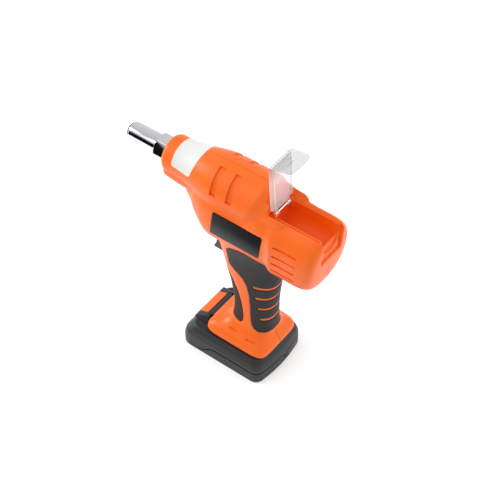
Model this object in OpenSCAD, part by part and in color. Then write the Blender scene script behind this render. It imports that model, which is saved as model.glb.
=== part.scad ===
// Cordless blind rivet tool: two-shell housing, slide-on battery pack and clear-lidded mandrel tray.
// The rivet axis runs along X with the nose towards -X. The pack stands on Z = 0, centred on the origin.

/* [Rivet axis] */
// Height of the rivet axis above the base
axis_z = 226.5; // [225:0.5:228]
// Travel of the jaws from rest to full pull
stroke = 20; // [14:1:20]
// Bore that the rivet mandrel passes through
mandrel_d = 3.3; // [2.4:0.1:3.6]

/* [Housing] */
// Wall of the housing shells
wall = 2.6; // [2:0.1:2.8]
// Radius of the gear barrel
barrel_r = 28.5; // [28.5:0.25:31]
// Radius of the nose at its front
nose_r = 19.6; // [19:0.1:21]
// Front face of the nose
nose_x = -82; // [-84:1:-80]
// Radius of the cheeks beside the lid hinge
cheek_r = 23.5; // [22.5:0.25:24]
// Half width of the lower body
body_w = 33.2; // [33:0.2:36]
// Height of the middle of the lower body
body_z = 200; // [198:0.5:201]
// Rise of the lower body above its middle
body_rise = 40; // [39:0.5:42]
// Drop of the lower body below its middle
body_drop = 36; // [35:0.5:39]
// Rear end of the lower body at its middle
rear_x = 105; // [103:0.5:108]
// Lean of the rear wall, as run over rise
rear_lean = 0.12; // [0.08:0.02:0.22]
// Gap between the two shells
seam_gap = 0.1; // [0.05:0.05:0.2]
// Number of vent slots in each flank
vent_n = 4; // [2:1:4]
// Spacing of the vent slots
vent_pitch = 10.1; // [8:0.1:10.5]
// Height of one vent slot
vent_h = 2; // [1.5:0.1:3]
// Length of one vent slot
vent_l = 26; // [18:1:30]

/* [Handle and foot] */
// Middle of the handle at its waist
handle_x = 20.5; // [19:0.5:22]
// Half depth of the handle at its waist
handle_a = 23.5; // [22:0.5:26]
// Half width of the handle at its waist
handle_b = 17.5; // [17:0.25:20]
// Half length of the foot
foot_a = 37.3; // [36:0.1:38.5]
// Half width of the foot
foot_b = 31.5; // [29:0.5:34]
// Gap between the foot and the pack
foot_gap = 1.2; // [0.8:0.1:2]
// Thickness of the moulded grip pads
grip_t = 1.6; // [1.2:0.1:2]
// Number of slots in each grip pad
slot_n = 4; // [2:1:4]
// Spacing of the grip slots
slot_pitch = 16; // [13:0.5:16.5]

/* [Nose] */
// Radius of the nose sleeve
sleeve_r = 10.6; // [9.5:0.05:10.75]
// Length of sleeve that shows ahead of the nose
sleeve_out = 48; // [46:1:50]
// Width of the locknut across its flats
nut_af = 24; // [23:0.5:26]
// Length of locknut that shows ahead of the nose
nut_out = 14; // [10:0.5:16]
// Radius of the nosepiece flange
tip_r = 8.5; // [7.5:0.1:9]
// Length of the nosepiece flange
tip_out = 2.5; // [1.5:0.1:4]

/* [Drive] */
// Module of the main gear pair
gear_m = 1; // [1:0.5:1]
// Teeth of the ball-nut gear
nut_teeth = 46; // [44:1:47]
// Teeth of the output pinion
pinion_teeth = 35; // [33:1:35]
// Module of the planetary stage
planet_m = 0.8; // [0.75:0.05:0.8]
// Teeth of the sun and of each planet
sun_teeth = 12; // [12:3:12]
// Width of the main gears
gear_w = 14; // [10:1:14]
// Radius of the pull screw
screw_r = 8; // [7.5:0.1:8.2]
// Radius of the motor can
motor_r = 16.8; // [15.5:0.1:16.8]
// Length of the motor can
motor_l = 46; // [42:1:47]

/* [Tray and lid] */
// Half width of the opening over the tray
mouth_b = 16.5; // [16:0.1:17.2]
// Depth of the tray trough below its top
tray_depth = 23.5; // [20:0.5:24]
// Length of the lid from its pin to its tongue
lid_l = 64.5; // [62:0.5:66]
// Length of the lid tongue
tongue_l = 26; // [20:0.5:28]
// Thickness of the lid
lid_t = 2; // [1.6:0.1:2.4]
// Angle of the lid when open
lid_open = 93; // [88:0.5:95]
// Number of ribs across the lid
lid_ribs = 9; // [5:1:11]
// Number of grip ridges on the lid bend
lid_ridges = 8; // [5:1:9]
// Radius of the lid pin
pin_r = 1; // [0.8:0.05:1.2]

/* [Trigger] */
// Travel of the trigger
trigger_travel = 6; // [4:0.5:6]
// Half width of the trigger
trigger_b = 6.8; // [6:0.1:7.5]

/* [Battery pack] */
// Length of the pack
pack_l = 102; // [101:0.5:108]
// Width of the pack
pack_w = 77; // [74:0.5:80]
// Height of the pack below the foot
pack_h = 30; // [29.5:0.5:32]
// Corner radius of the pack in plan
pack_r = 10; // [8:0.5:12]
// Wall of the pack cases
pack_wall = 2.4; // [2:0.1:2.6]
// Half width of the pack rail
rail_b = 20; // [18:0.5:21]
// Height of the pack rail
rail_h = 10; // [9:0.5:10]
// Number of cells
cell_n = 5; // [5:1:6]
// Travel of the release button
button_travel = 2.2; // [1.5:0.1:2.4]

/* [Hidden] */
$fn = 64;
// Clearances: a seated piece, a turning shaft, a sliding piece
seat = 0.3;
run = 0.05;
slide = 0.4;
nib = 0.01;
big = 400;
// Heights and places that follow from the sizes above
gear_span = gear_m * (nut_teeth + pinion_teeth) / 2;
motor_z = axis_z - gear_span;
chin_x = nose_x + 28;
cone_x = nose_x + 16;
cone_l = 54;
shoulder_x = 28;
cheek_x = 45;
cheek_end_x = 66.5;
shoulder_lean = 0.34;
bulkhead_x = 32.5;
foot_z = pack_h + foot_gap;
foot_x = pack_l / 2 - foot_a - 1;
waist_z = foot_z + 47;
rail_neck_b = rail_b - 4;
channel_z = pack_h + rail_h + seat;
handle_floor = channel_z + wall;
sleeve_x = nose_x - sleeve_out;
sleeve_bore = sleeve_r - 2;
tip_x = sleeve_x - tip_out;
nut_r = nut_af / 2 / cos(30);
frame_r = nut_r;
frame_x = nose_x + 4;
flange_x = -20;
plate_x = flange_x + 6.5;
gear_x = 3;
hub_r = screw_r + 5;
hub_x = gear_x - 9.5;
rear_plate_x = gear_x + gear_w + 8;
screw_end_x = rear_plate_x;
plate_t = 5;
nut_tip_r = gear_m * (nut_teeth / 2 + 1);
nut_pitch_r = gear_m * nut_teeth / 2;
bearing_r = nut_tip_r - 2;
ring_x = rear_plate_x + plate_t + seat;
ring_r = motor_r;
ring_l = 16.4;
motor_x = ring_x + ring_l + seat;
shaft_r = 1.6;
spindle_r = 5;
planet_pitch_r = planet_m * sun_teeth / 2;
ring_teeth = 3 * sun_teeth;
carrier_x = ring_x + 0.5;
planet_x = carrier_x + 6;
planet_w = 7;
jaw_case_r = sleeve_bore - slide;
jaw_case_x = sleeve_x + 14;
jaw_case_l = 40;
spigot_r = jaw_case_r - 1.6;
spigot_x = jaw_case_x + jaw_case_l - 10;
screw_bore = mandrel_d / 2 + 2.4;
tube_r = screw_bore - 0.7;
hinge_x = cheek_x + 4;
tray_gap = 1;
tray_b = mouth_b - tray_gap;
tray_wall = 1.8;
tray_x = cheek_x + slide;
tray_end_x = rear_x - 2.4;
apron_t = 3.2;
apron_h = 5;
hinge_z = axis_z + 4;
tray_top = hinge_z - 0.1;
trough_b = tray_b - tray_wall;
trough_z = tray_top - tray_depth + trough_b;
tray_floor = trough_z - trough_b - 1.7;
lid_b = mouth_b - 0.7;
lid_neck_b = lid_b - 4;
trigger_x = -28.5;
trigger_z = [133.4, 158];
trigger_mid_z = (trigger_z[0] + trigger_z[1]) / 2;
trigger_back_x = -13;
plunger_r = 2.5;
switch_x = trigger_back_x + trigger_travel + 0.6;
switch_l = 22;
switch_b = 7.6;
split_z = 13.3;
split_gap = 1.2;
hood_x = foot_x - foot_a - 0.8;
pack_front = min(-pack_l / 2, hood_x - 25.6);
hood_top = pack_h + 9.2;
hood_flat = 4.1;
hood_slope = 0.45;
orange = [1, 0.42, 0.12];
black = [0.16, 0.16, 0.17];
steel = [0.72, 0.73, 0.75];
dark_steel = [0.35, 0.36, 0.38];

// Shared shapes

// Straight rod along X
module rod(x0, x1, r, z = axis_z, y = 0) {
    translate([x0, y, z])
        rotate([0, 90, 0])
            cylinder(h = x1 - x0, r = r);
}

// Tube along X
module tube(x0, x1, r, bore, z = axis_z) {
    difference() {
        rod(x0, x1, r, z);
        rod(x0 - 1, x1 + 1, bore, z);
    }
}

// Rod across the tool, along Y
module cross_rod(y0, y1, r, x, z) {
    translate([x, y1, z])
        rotate([90, 0, 0])
            cylinder(h = y1 - y0, r = r);
}

// Box from two corners
module block(low, high) {
    translate(low)
        cube(high - low);
}

// Turned solid about the rivet axis, from points of place and radius
module turned(points, z = axis_z) {
    translate([0, 0, z])
        rotate([0, 90, 0])
            rotate_extrude()
                polygon([for (p = points) [p[1], p[0]]]);
}

// Side profile in X and Z, given a width across Y
module side(points, y0, y1) {
    translate([0, y1, 0])
        rotate([90, 0, 0])
            linear_extrude(height = y1 - y0)
                polygon(points);
}

// Upright slab with round corners in plan
module slab(l, w, r, z0, z1) {
    translate([0, 0, z0]) {
        translate([-l / 2 + r, -w / 2, 0])
            cube([l - 2 * r, w, z1 - z0]);
        translate([-l / 2, -w / 2 + r, 0])
            cube([l, w - 2 * r, z1 - z0]);
        for (sx = [-1, 1], sy = [-1, 1])
            translate([sx * (l / 2 - r), sy * (w / 2 - r), 0])
                cylinder(h = z1 - z0, r = r);
    }
}

// Skin through a list of rings that all have the same number of points
module loft(rings) {
    n = len(rings[0]);
    m = len(rings);
    points = [for (r = rings) each r];
    sides = [for (j = [0:m - 2], i = [0:n - 1])
        let (a = j * n + i, b = j * n + (i + 1) % n)
            each [[a, a + n, b + n], [a, b + n, b]]];
    first = [for (i = [0:n - 1]) i];
    last = [for (i = [0:n - 1]) m * n - 1 - i];
    polyhedron(points, concat([first], sides, [last]));
}

// Signed power, for rings between an ellipse and a rounded box
function super(c, p) = sign(c) * pow(abs(c), 2 / p);

// Smooth curve through four rows
function blend(p0, p1, p2, p3, t) = 0.5 * (2 * p1 + (p2 - p0) * t + (2 * p0 - 5 * p1 + 4 * p2 - p3) * t * t
    + (3 * p1 - p0 - 3 * p2 + p3) * t * t * t);
function refine(rows, k) = [
    for (i = [0:len(rows) - 2], j = [0:k - 1])
        blend(rows[max(i - 1, 0)], rows[i], rows[i + 1], rows[min(i + 2, len(rows) - 1)], j / k),
    rows[len(rows) - 1]];

// Spur gear outline with straight-flanked teeth and free backlash
function gear_points(teeth, m, phase = 0) = [
    for (i = [0:teeth - 1], q = [[-0.36, -1.2], [-0.13, 0.85], [0.13, 0.85], [0.36, -1.2]])
        let (r = m * teeth / 2 + q[1] * m, a = phase + 360 * (i + q[0] * (q[1] < 0 ? 0.78 : 0.9)) / teeth)
            [r * cos(a), r * sin(a)]];
module gear(teeth, m, x0, x1, z = axis_z, y = 0, phase = 0) {
    translate([x0, y, z])
        rotate([0, 90, 0])
            linear_extrude(height = x1 - x0)
                polygon(gear_points(teeth, m, phase));
}

// Round-wire spring along X: one unbroken tube of six sides
function coil_ring(a, c, r, wire, pitch) = [
    for (k = [0:5])
        let (w = wire * cos(60 * k), u = wire * sin(60 * k))
            [c + pitch * a / 360 - u, (r + w) * cos(a), (r + w) * sin(a)]];
module coil(x0, x1, r, wire, turns, z, y = 0) {
    pitch = (x1 - x0 - 2 * wire) / turns;
    translate([0, y, z])
        loft([for (s = [0:8 * turns]) coil_ring(45 * s, x0 + wire, r, wire, pitch)]);
}

// Housing form

// Rows of the lower body: place, rise, drop, half width, roundness above, roundness below, lean
body_rows = [
    [chin_x - 8, 9, 0.4, 9, 2, 2, 0],
    [chin_x, 12, 3.2, 14, 2, 2, 0],
    [chin_x + 4.5, 15, 8, 16.5, 2, 2, 0],
    [chin_x + 9, 18, 15.5, 19.2, 2.1, 2.1, 0],
    [chin_x + 14, 21, 25.5, 22.8, 2.3, 2.2, 0],
    [chin_x + 21, 23, body_drop - 1, body_w - 7, 2.5, 2.3, 0],
    [chin_x + 30, 25, body_drop + 3, body_w - 3.8, 2.8, 2.7, 0],
    [chin_x + 44, 26, body_drop + 3, body_w - 2.4, 3, 2.8, 0.05],
    [chin_x + 74, 27, body_drop, body_w - 2.2, 3, 3, 0.1],
    [cheek_x - 7, body_rise - 7.5, body_drop + 0.8, body_w - 2.2, 3.6, 3, 0],
    [cheek_x + 4, body_rise - 8.5, body_drop + 1.5, body_w - 2.2, 3.3, 3, 0.05],
    [cheek_x + 12, body_rise - 4, body_drop + 3, body_w, 2, 3, 0.05],
    [cheek_x + 25, body_rise, body_drop + 4.5, body_w, 1.8, 3, 0.12],
    [rear_x - 18, body_rise, body_drop + 4.5, body_w, 1.8, 3, rear_lean * 0.4],
    [rear_x - 8, body_rise - 0.6, body_drop + 3.5, body_w - 1, 1.8, 2.8, rear_lean * 0.7],
    [rear_x - 3.2, body_rise - 2, body_drop + 1, body_w - 3.4, 1.8, 2.6, rear_lean * 0.85],
    [rear_x - 0.9, body_rise - 5, body_drop - 4, body_w - 7.7, 1.9, 2.4, rear_lean * 0.95],
    [rear_x, body_rise - 11, body_drop - 11, body_w - 14.7, 1.9, 2.2, rear_lean]];
body_mid_x = (chin_x + rear_x) / 2;
function body_ring(r, g, n) = [
    for (i = [0:n - 1])
        let (c = cos(360 * i / n), s = sin(360 * i / n), p = s > 0 ? r[4] : r[5],
            h = max((s > 0 ? r[1] : r[2]) - g, 0.4), dz = h * super(s, p),
            k = 1 - g / (rear_x - body_mid_x))
                [body_mid_x + (r[0] - body_mid_x) * k + r[6] * dz, max(r[3] - g, 0.4) * super(c, p), body_z + dz]];
module body_form(g, n, k) {
    loft([for (r = refine(body_rows, k)) body_ring(r, g, n)]);
}

// Rows of the foot and handle: height, middle, half depth, half width, roundness
handle_rows = [
    [foot_z, foot_x, foot_a, foot_b, 7],
    [foot_z + 6, foot_x, foot_a, foot_b, 7],
    [foot_z + 10.5, foot_x + 0.4, foot_a - 2.6, foot_b - 2.8, 5.5],
    [foot_z + 16, (foot_x + handle_x) / 2, foot_a - 9.5, foot_b - 8, 3.6],
    [foot_z + 22.5, handle_x - 0.7, handle_a + 1, handle_b + 2, 2.8],
    [foot_z + 31, handle_x - 0.2, handle_a + 0.2, handle_b + 0.2, 2.4],
    [waist_z, handle_x, handle_a, handle_b, 2.3],
    [waist_z + 17, handle_x - 1, handle_a + 1.5, handle_b + 0.5, 2.3],
    [waist_z + 32, handle_x - 1.7, handle_a + 3.8, handle_b + 1, 2.3],
    [waist_z + 47, handle_x - 3.5, handle_a + 7.2, handle_b + 1.6, 2.3],
    [waist_z + 62, handle_x - 5, handle_a + 9.3, handle_b + 2.5, 2.3],
    [waist_z + 78, handle_x - 5.5, handle_a + 12.5, handle_b + 4.5, 2.4],
    [waist_z + 96, handle_x - 3.5, handle_a + 20, handle_b + 8, 2.5]];
function handle_ring(r, g, n) = [
    for (i = [0:n - 1])
        let (c = cos(360 * i / n), s = sin(360 * i / n))
            [r[1] + (r[2] - g) * super(c, r[4]), (r[3] - g) * super(s, r[4]), r[0]]];
module handle_form(g, n, k, floor = 0) {
    loft([for (r = refine(handle_rows, k)) if (r[0] >= floor) handle_ring(r, g, n)]);
}

// Nose, cone, barrel and cheeks: place, radius and lean of each ring about the rivet axis
function barrel_rise(t) = t * t * (3 - 2 * t);
function barrel_points(g, step) = [
    for (t = [0:step:1.001])
        [cone_x + cone_l * t, nose_r + (barrel_r - nose_r) * barrel_rise(t) - g, 0]];
barrel_rows = concat([[nose_x, nose_r - 4, 0], [nose_x + 1.1, nose_r - 1.6, 0], [nose_x + 3.8, nose_r - 0.1, 0]],
    barrel_points(0, 0.125),
    [[shoulder_x - 1, barrel_r, shoulder_lean], [shoulder_x + 9, cheek_r + 1.5, shoulder_lean * 0.8],
    [cheek_x, cheek_r + 1, shoulder_lean * 0.4], [cheek_end_x - 8, cheek_r + 0.4, 0.05],
    [cheek_end_x - 2.5, cheek_r - 1.5, 0], [cheek_end_x, cheek_r - 7, 0]]);
module barrel_form(n) {
    loft([for (r = barrel_rows)
        [for (i = [0:n - 1])
            [r[0] + r[2] * r[1] * sin(360 * i / n), r[1] * cos(360 * i / n), axis_z + r[1] * sin(360 * i / n)]]]);
}
module barrel_cavity() {
    turned(concat([[frame_x, 0], [frame_x, nose_r - wall]], barrel_points(wall, 0.125),
        [[shoulder_x - 6, barrel_r - wall], [bulkhead_x, barrel_r - 2.4 - wall], [bulkhead_x, 0]]));
}

// Chin rib under the nose
module nose_keel() {
    side([[nose_x + 1.5, axis_z - nose_r + 4], [nose_x + 1.5, axis_z - nose_r - 3.8],
        [nose_x + 3, axis_z - nose_r - 5], [chin_x + 14, axis_z - nose_r - 6.8], [chin_x + 14, axis_z - nose_r + 4]],
        -11.8, 11.8);
}

module outer_form() {
    barrel_form(36);
    nose_keel();
    body_form(0, 26, 2);
    handle_form(0, 24, 2);
}

// Screw places as X and Z
screw_spots = [[chin_x + 23, body_z - 12], [chin_x + 35, body_z - 33], [handle_x, waist_z + 22], [handle_x, waist_z - 13]];
boss_r = 3.4;
screw_shank_r = 1.5;
screw_head_r = 3;

// Room inside the shells, less the bosses and the ribs that carry the works
module inner_room() {
    difference() {
        union() {
            barrel_cavity();
            body_form(wall, 20, 1);
            handle_form(wall + grip_t, 16, 1, handle_floor);
        }
        for (s = screw_spots)
            cross_rod(-big / 4, big / 4, boss_r, s[0], s[1]);
        // Ring rib that steadies the nose frame
        difference() {
            rod(frame_x + 20, frame_x + 22.5, nose_r + 2);
            rod(frame_x + 19, frame_x + 24, frame_r + run);
        }
        // Two ribs that cradle the motor
        for (x = [motor_x + 6, motor_x + motor_l - 8])
            difference() {
                block([x, -body_w, body_z - body_drop], [x + 2, body_w, motor_z]);
                rod(x - 1, x + 3, motor_r + run, motor_z);
            }
        // Shelves above and below the trigger switch
        for (z = [trigger_z[0] - 3.4, trigger_z[1] + 2.4])
            block([switch_x + 1, -body_w, z], [switch_x + switch_l, body_w, z + 2]);
    }
}

// Opening over the tray, with the sloped face in front of the lid and the notch in the rear wall
module mouth() {
    side([[cheek_x - 9, axis_z + barrel_r + 8], [cheek_x, axis_z + 5.5], [cheek_x, tray_floor - seat],
        [tray_end_x - apron_t - seat, tray_floor - seat], [tray_end_x - apron_t - seat, tray_floor - apron_h - seat],
        [rear_x + 30, tray_floor - apron_h - seat],
        [rear_x + 30, axis_z + barrel_r + 8]], -mouth_b, mouth_b);
    // Bevel along the inside of both cheeks
    translate([cheek_x + 1, 0, 0])
        rotate([90, 0, 90])
            linear_extrude(height = cheek_end_x)
                polygon([[-mouth_b, hinge_z], [mouth_b, hinge_z], [mouth_b + 16, hinge_z + 16],
                    [mouth_b + 16, hinge_z + 40], [-mouth_b - 16, hinge_z + 40], [-mouth_b - 16, hinge_z + 16]]);
}

// Cut through the foot for the pack rail, and the pocket for the terminal block
module rail_channel() {
    x0 = foot_x - foot_a - 1;
    x1 = foot_x + foot_a - 11;
    block([x0, -rail_neck_b - slide, foot_z - 1], [x1, rail_neck_b + slide, channel_z]);
    block([x0, -rail_b - slide, pack_h + 4], [x1, rail_b + slide, channel_z]);
    block([x1 - nib, -rail_neck_b - slide, foot_z - 1], [x1 + 6 + seat, rail_neck_b + slide, channel_z]);
}

// Vent slots, one row in each flank
vent_x = motor_x + 15.5;
vent_z = body_z + 11;
vent_deep = 1.6;
// Half width of the rear body at a height
function flank_y(z) = let (d = z - body_z, h = d > 0 ? body_rise : body_drop + 4.5, p = d > 0 ? 1.8 : 3)
    body_w * pow(1 - pow(abs(d) / h, p), 1 / p);
module vents() {
    for (i = [0:vent_n - 1])
        for (s = [-1, 1])
            translate([vent_x - 0.6 * i, s * (flank_y(vent_z - vent_pitch * i) - vent_deep), vent_z - vent_pitch * i])
                rotate([-90 * s, 0, 0])
                    linear_extrude(height = 20) {
                        circle(r = vent_h / 2, $fn = 24);
                        translate([vent_l - vent_h, 0])
                            circle(r = vent_h / 2, $fn = 24);
                        translate([0, -vent_h / 2])
                            square([vent_l - vent_h, vent_h]);
                    }
}

// Shallow flat on each flank for a plate, and two flutes that wrap each side of the barrel
plate_mid = [17.2, body_z - 2];
plate_size = [58.5, 31];
plate_y = body_w - 3;
module flank_flat() {
    d = 2.2;
    side([[plate_mid[0] - plate_size[0] / 2 + d, plate_mid[1] + plate_size[1] / 2],
        [plate_mid[0] + plate_size[0] / 2 + d, plate_mid[1] + plate_size[1] / 2],
        [plate_mid[0] + plate_size[0] / 2 - d, plate_mid[1] - plate_size[1] / 2],
        [plate_mid[0] - plate_size[0] / 2 - d, plate_mid[1] - plate_size[1] / 2]], -big / 4, -plate_y);
}
flute_w = 7;
flute_x = [-15, 3.5];
flute_sweep = [20, 84];
flute_shift = 1.55;
module flutes() {
    for (x = flute_x, s = [-1, 1])
        translate([x, 0, axis_z])
            rotate([90, 0, 90])
                linear_extrude(height = flute_w)
                    difference() {
                        polygon([[0, 0], for (a = flute_sweep) [s * 60 * sin(a), 60 * cos(a)]]);
                        translate([0, flute_shift])
                            circle(r = barrel_r - 1.7);
                    }
}

// Zones of the grip pads in side view
side_zone = [[-1, waist_z + 80], [-1.6, waist_z + 61], [1, waist_z + 57.5], [10, waist_z + 53], [19, waist_z + 46],
    [23, waist_z + 33], [24.6, waist_z + 20], [25, waist_z - 3], [26, waist_z - 16], [29.5, waist_z - 21.5], [36, waist_z - 24], [big / 4, waist_z - 24],
    [big / 4, waist_z + 80]];
front_zone = [[-big / 4, waist_z + 46], [-9, waist_z + 46], [-3, waist_z + 42], [3, waist_z + 33], [8, waist_z + 18],
    [10.5, waist_z - 4], [10.8, waist_z - 17], [9.2, waist_z - 20.8], [5.5, waist_z - 22], [-big / 4, waist_z - 20]];
module grip_zones(shrink) {
    rotate([90, 0, 0])
        linear_extrude(height = big, center = true)
            offset(delta = -shrink) {
                polygon(side_zone);
                polygon(front_zone);
            }
}
// Pocket in the shells for the pads, and the pads themselves
module grip_pocket() {
    difference() {
        grip_zones(0);
        handle_form(grip_t, 24, 1);
    }
}
module grip_pads() {
    intersection() {
        grip_zones(run);
        difference() {
            handle_form(-0.3, 24, 2);
            handle_form(grip_t - run, 24, 1);
        }
    }
}
module grip_slots() {
    for (i = [0:slot_n - 1])
        block([28 + 2.3 * i, -big / 4, waist_z + 40.6 - slot_pitch * i],
            [big / 4, big / 4, waist_z + 43.6 - slot_pitch * i]);
}

// Everything that is cut from the shells
module shell_cuts() {
    mouth();
    rail_channel();
    vents();
    flutes();
    flank_flat();
    mirror([0, 1, 0])
        flank_flat();
    grip_pocket();
    // Mouth of the nose, and the way for the pull screw through the bulkhead
    rod(nose_x - 1, frame_x + 1, nut_r + 0.6);
    rod(bulkhead_x - 1, cheek_x + 1, screw_r + slide);
    // Slot for the trigger
    block([trigger_x - 10, -trigger_b - slide, trigger_z[0] - slide],
        [switch_x, trigger_b + slide, trigger_z[1] + slide]);
}
module shells() {
    difference() {
        outer_form();
        inner_room();
        shell_cuts();
    }
}
module half_space(s) {
    translate([-big / 2, s > 0 ? seam_gap / 2 : -big - seam_gap / 2, -1])
        cube([big, big, big]);
}

module housing_left() {
    color(orange)
        difference() {
            intersection() {
                shells();
                half_space(-1);
            }
            for (s = screw_spots)
                cross_rod(-12, 1, screw_shank_r + run, s[0], s[1]);
        }
}
module housing_right() {
    color(orange)
        difference() {
            intersection() {
                shells();
                half_space(1);
            }
            for (s = screw_spots) {
                cross_rod(-1, big / 4, screw_shank_r + 0.3, s[0], s[1]);
                cross_rod(8, big / 4, screw_head_r + 0.3, s[0], s[1]);
            }
        }
}
module housing_screws() {
    color(dark_steel)
        for (s = screw_spots) {
            cross_rod(-11, 8.2, screw_shank_r, s[0], s[1]);
            cross_rod(8.2, 10.6, screw_head_r, s[0], s[1]);
        }
}
module grip_pad(s) {
    color(black)
        difference() {
            intersection() {
                grip_pads();
                half_space(s);
            }
            grip_slots();
        }
}
module grip_left() {
    grip_pad(-1);
}
module grip_right() {
    grip_pad(1);
}

// Nose and pulling head

module nosepiece() {
    color(dark_steel)
        turned([[tip_x, mandrel_d / 2], [tip_x, tip_r - 0.8], [tip_x + 0.8, tip_r], [sleeve_x - nib, tip_r],
            [sleeve_x - nib, 6], [jaw_case_x - 3, 6], [jaw_case_x - 1, 4], [jaw_case_x - 1, mandrel_d / 2]]);
}
module nose_sleeve() {
    color(steel)
        turned([[sleeve_x, 6 + run], [sleeve_x, sleeve_r - 1.2], [sleeve_x + 1.2, sleeve_r],
            [frame_x + 14, sleeve_r], [frame_x + 14, sleeve_bore], [sleeve_x + 4, sleeve_bore], [sleeve_x + 4, 6 + run]]);
}
module locknut() {
    color(steel)
        difference() {
            intersection() {
                translate([nose_x - nut_out, 0, axis_z])
                    rotate([0, 90, 0])
                        rotate([0, 0, 30])
                            cylinder(h = nut_out + 3.5, r = nut_r, $fn = 6);
                turned([[nose_x - nut_out, 0], [nose_x - nut_out, nut_af / 2 - 0.6], [nose_x - nut_out + 2.5, nut_r + 1],
                    [frame_x, nut_r + 1], [frame_x, 0]]);
            }
            rod(nose_x - nut_out - 1, frame_x + 1, sleeve_r + run);
        }
}
module nose_frame() {
    color(dark_steel)
        turned([[frame_x, sleeve_r + run], [frame_x, frame_r], [flange_x, frame_r], [flange_x, bearing_r],
            [plate_x - 0.2, bearing_r], [plate_x - 0.2, screw_r + slide], [frame_x + 14.2, screw_r + slide],
            [frame_x + 14.2, sleeve_r + run]]);
}
module jaw_case() {
    color(dark_steel)
        turned([[jaw_case_x, 3], [jaw_case_x, jaw_case_r - 1], [jaw_case_x + 1, jaw_case_r],
            [jaw_case_x + jaw_case_l, jaw_case_r], [jaw_case_x + jaw_case_l, spigot_r + run],
            [jaw_case_x + 18, spigot_r + run], [jaw_case_x + 18, 5.8]]);
}
module jaws() {
    color(steel)
        difference() {
            turned([[jaw_case_x + 1.5, 1.3], [jaw_case_x + 1.5, 3], [jaw_case_x + 15.5, 5.2], [jaw_case_x + 15.5, 1.3]]);
            rod(jaw_case_x, jaw_case_x + 17, mandrel_d / 2 + 0.15);
            for (a = [0, 120, 240])
                translate([jaw_case_x, 0, axis_z])
                    rotate([a, 0, 0])
                        translate([0, -0.25, 0])
                            cube([17, 0.5, 10]);
        }
}
module jaw_pusher() {
    color(dark_steel)
        turned([[jaw_case_x + 15.8, mandrel_d / 2 + 0.2], [jaw_case_x + 15.8, 4.6], [jaw_case_x + 19.5, 5.6],
            [jaw_case_x + 21, 5.6], [jaw_case_x + 21, 2.9], [spigot_x - 1, 2.9], [spigot_x - 1, mandrel_d / 2 + 0.2]]);
}
module jaw_spring() {
    color(steel)
        coil(jaw_case_x + 21.3, spigot_x - 0.3, 4.2, 0.55, 4, axis_z);
}
module pull_screw() {
    color(steel)
        turned([[spigot_x, screw_bore], [spigot_x, spigot_r], [spigot_x + 10.3, spigot_r],
            [spigot_x + 10.3, screw_r - 1], [spigot_x + 11.3, screw_r], [screw_end_x - 1, screw_r],
            [screw_end_x, screw_r - 1], [screw_end_x, screw_bore]]);
}

// Drive

// Outline shared by the two gear plates, as places across and up
post_spots = [[-20.6, motor_z + 20], [20.6, motor_z + 20], [-17.2, motor_z - 12.2], [17.2, motor_z - 12.2]];
module plate_outline(x0, x1, r) {
    translate([x0, 0, 0])
        rotate([90, 0, 90])
            linear_extrude(height = x1 - x0)
                hull() {
                    translate([0, axis_z])
                        circle(r = r);
                    translate([0, motor_z])
                        circle(r = 15);
                    for (p = post_spots)
                        translate(p)
                            circle(r = 3, $fn = 24);
                }
}
module gear_plate_front() {
    color(steel)
        difference() {
            union() {
                plate_outline(plate_x, hub_x - seat, nut_tip_r - 1);
                tube(hub_x - 1, gear_x - 0.6, nut_tip_r, bearing_r + run);
                for (p = post_spots)
                    rod(hub_x - 1, rear_plate_x, 2.4, p[1], p[0]);
            }
            rod(plate_x - 1, gear_x, screw_r + slide);
            rod(plate_x + 1, gear_x, spindle_r + run, motor_z);
        }
}
module gear_plate_rear() {
    color(steel)
        difference() {
            union() {
                plate_outline(rear_plate_x, rear_plate_x + plate_t, nut_tip_r - 1.6);
                tube(gear_x + gear_w + 1.4, rear_plate_x + 1, bearing_r + 2, bearing_r - 2 + run);
            }
            rod(rear_plate_x - 1, rear_plate_x + plate_t + 1, screw_r + slide);
            rod(rear_plate_x - 1, rear_plate_x + plate_t + 1, spindle_r + run, motor_z);
        }
}
module thrust_bearing() {
    color(dark_steel) {
        tube(hub_x, hub_x + 2.4, bearing_r, hub_r + slide);
        tube(hub_x + 2.7, hub_x + 6.5, bearing_r - 1, hub_r + slide);
        tube(hub_x + 6.8, gear_x - seat, bearing_r, hub_r + slide);
    }
}
module rear_bearing() {
    color(dark_steel) {
        tube(gear_x + gear_w + 1.5, rear_plate_x - seat, bearing_r - 2, bearing_r - 4);
        tube(gear_x + gear_w + 1.5, rear_plate_x - seat, hub_r + 2.2, hub_r + run);
        for (a = [0:36:324])
            translate([gear_x + gear_w + 4.6, 0, axis_z])
                rotate([a, 0, 0])
                    translate([0, 0, (bearing_r - 4 + hub_r + 2.2) / 2])
                        sphere(r = (bearing_r - 4 - hub_r - 2.2) / 2 - 0.1, $fn = 32);
    }
}
module nut_gear() {
    color([0.62, 0.55, 0.36])
        difference() {
            union() {
                gear(nut_teeth, gear_m, gear_x, gear_x + gear_w, phase = 180 / nut_teeth);
                rod(hub_x + seat, rear_plate_x - seat, hub_r);
            }
            rod(hub_x - 1, rear_plate_x + 1, screw_r + run);
        }
}
module output_pinion() {
    color([0.62, 0.55, 0.36])
        difference() {
            gear(pinion_teeth, gear_m, gear_x + 0.3, gear_x + gear_w - 0.3, motor_z, phase = 180);
            rod(gear_x - 1, gear_x + gear_w + 1, spindle_r + 0.02, motor_z);
        }
}
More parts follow.
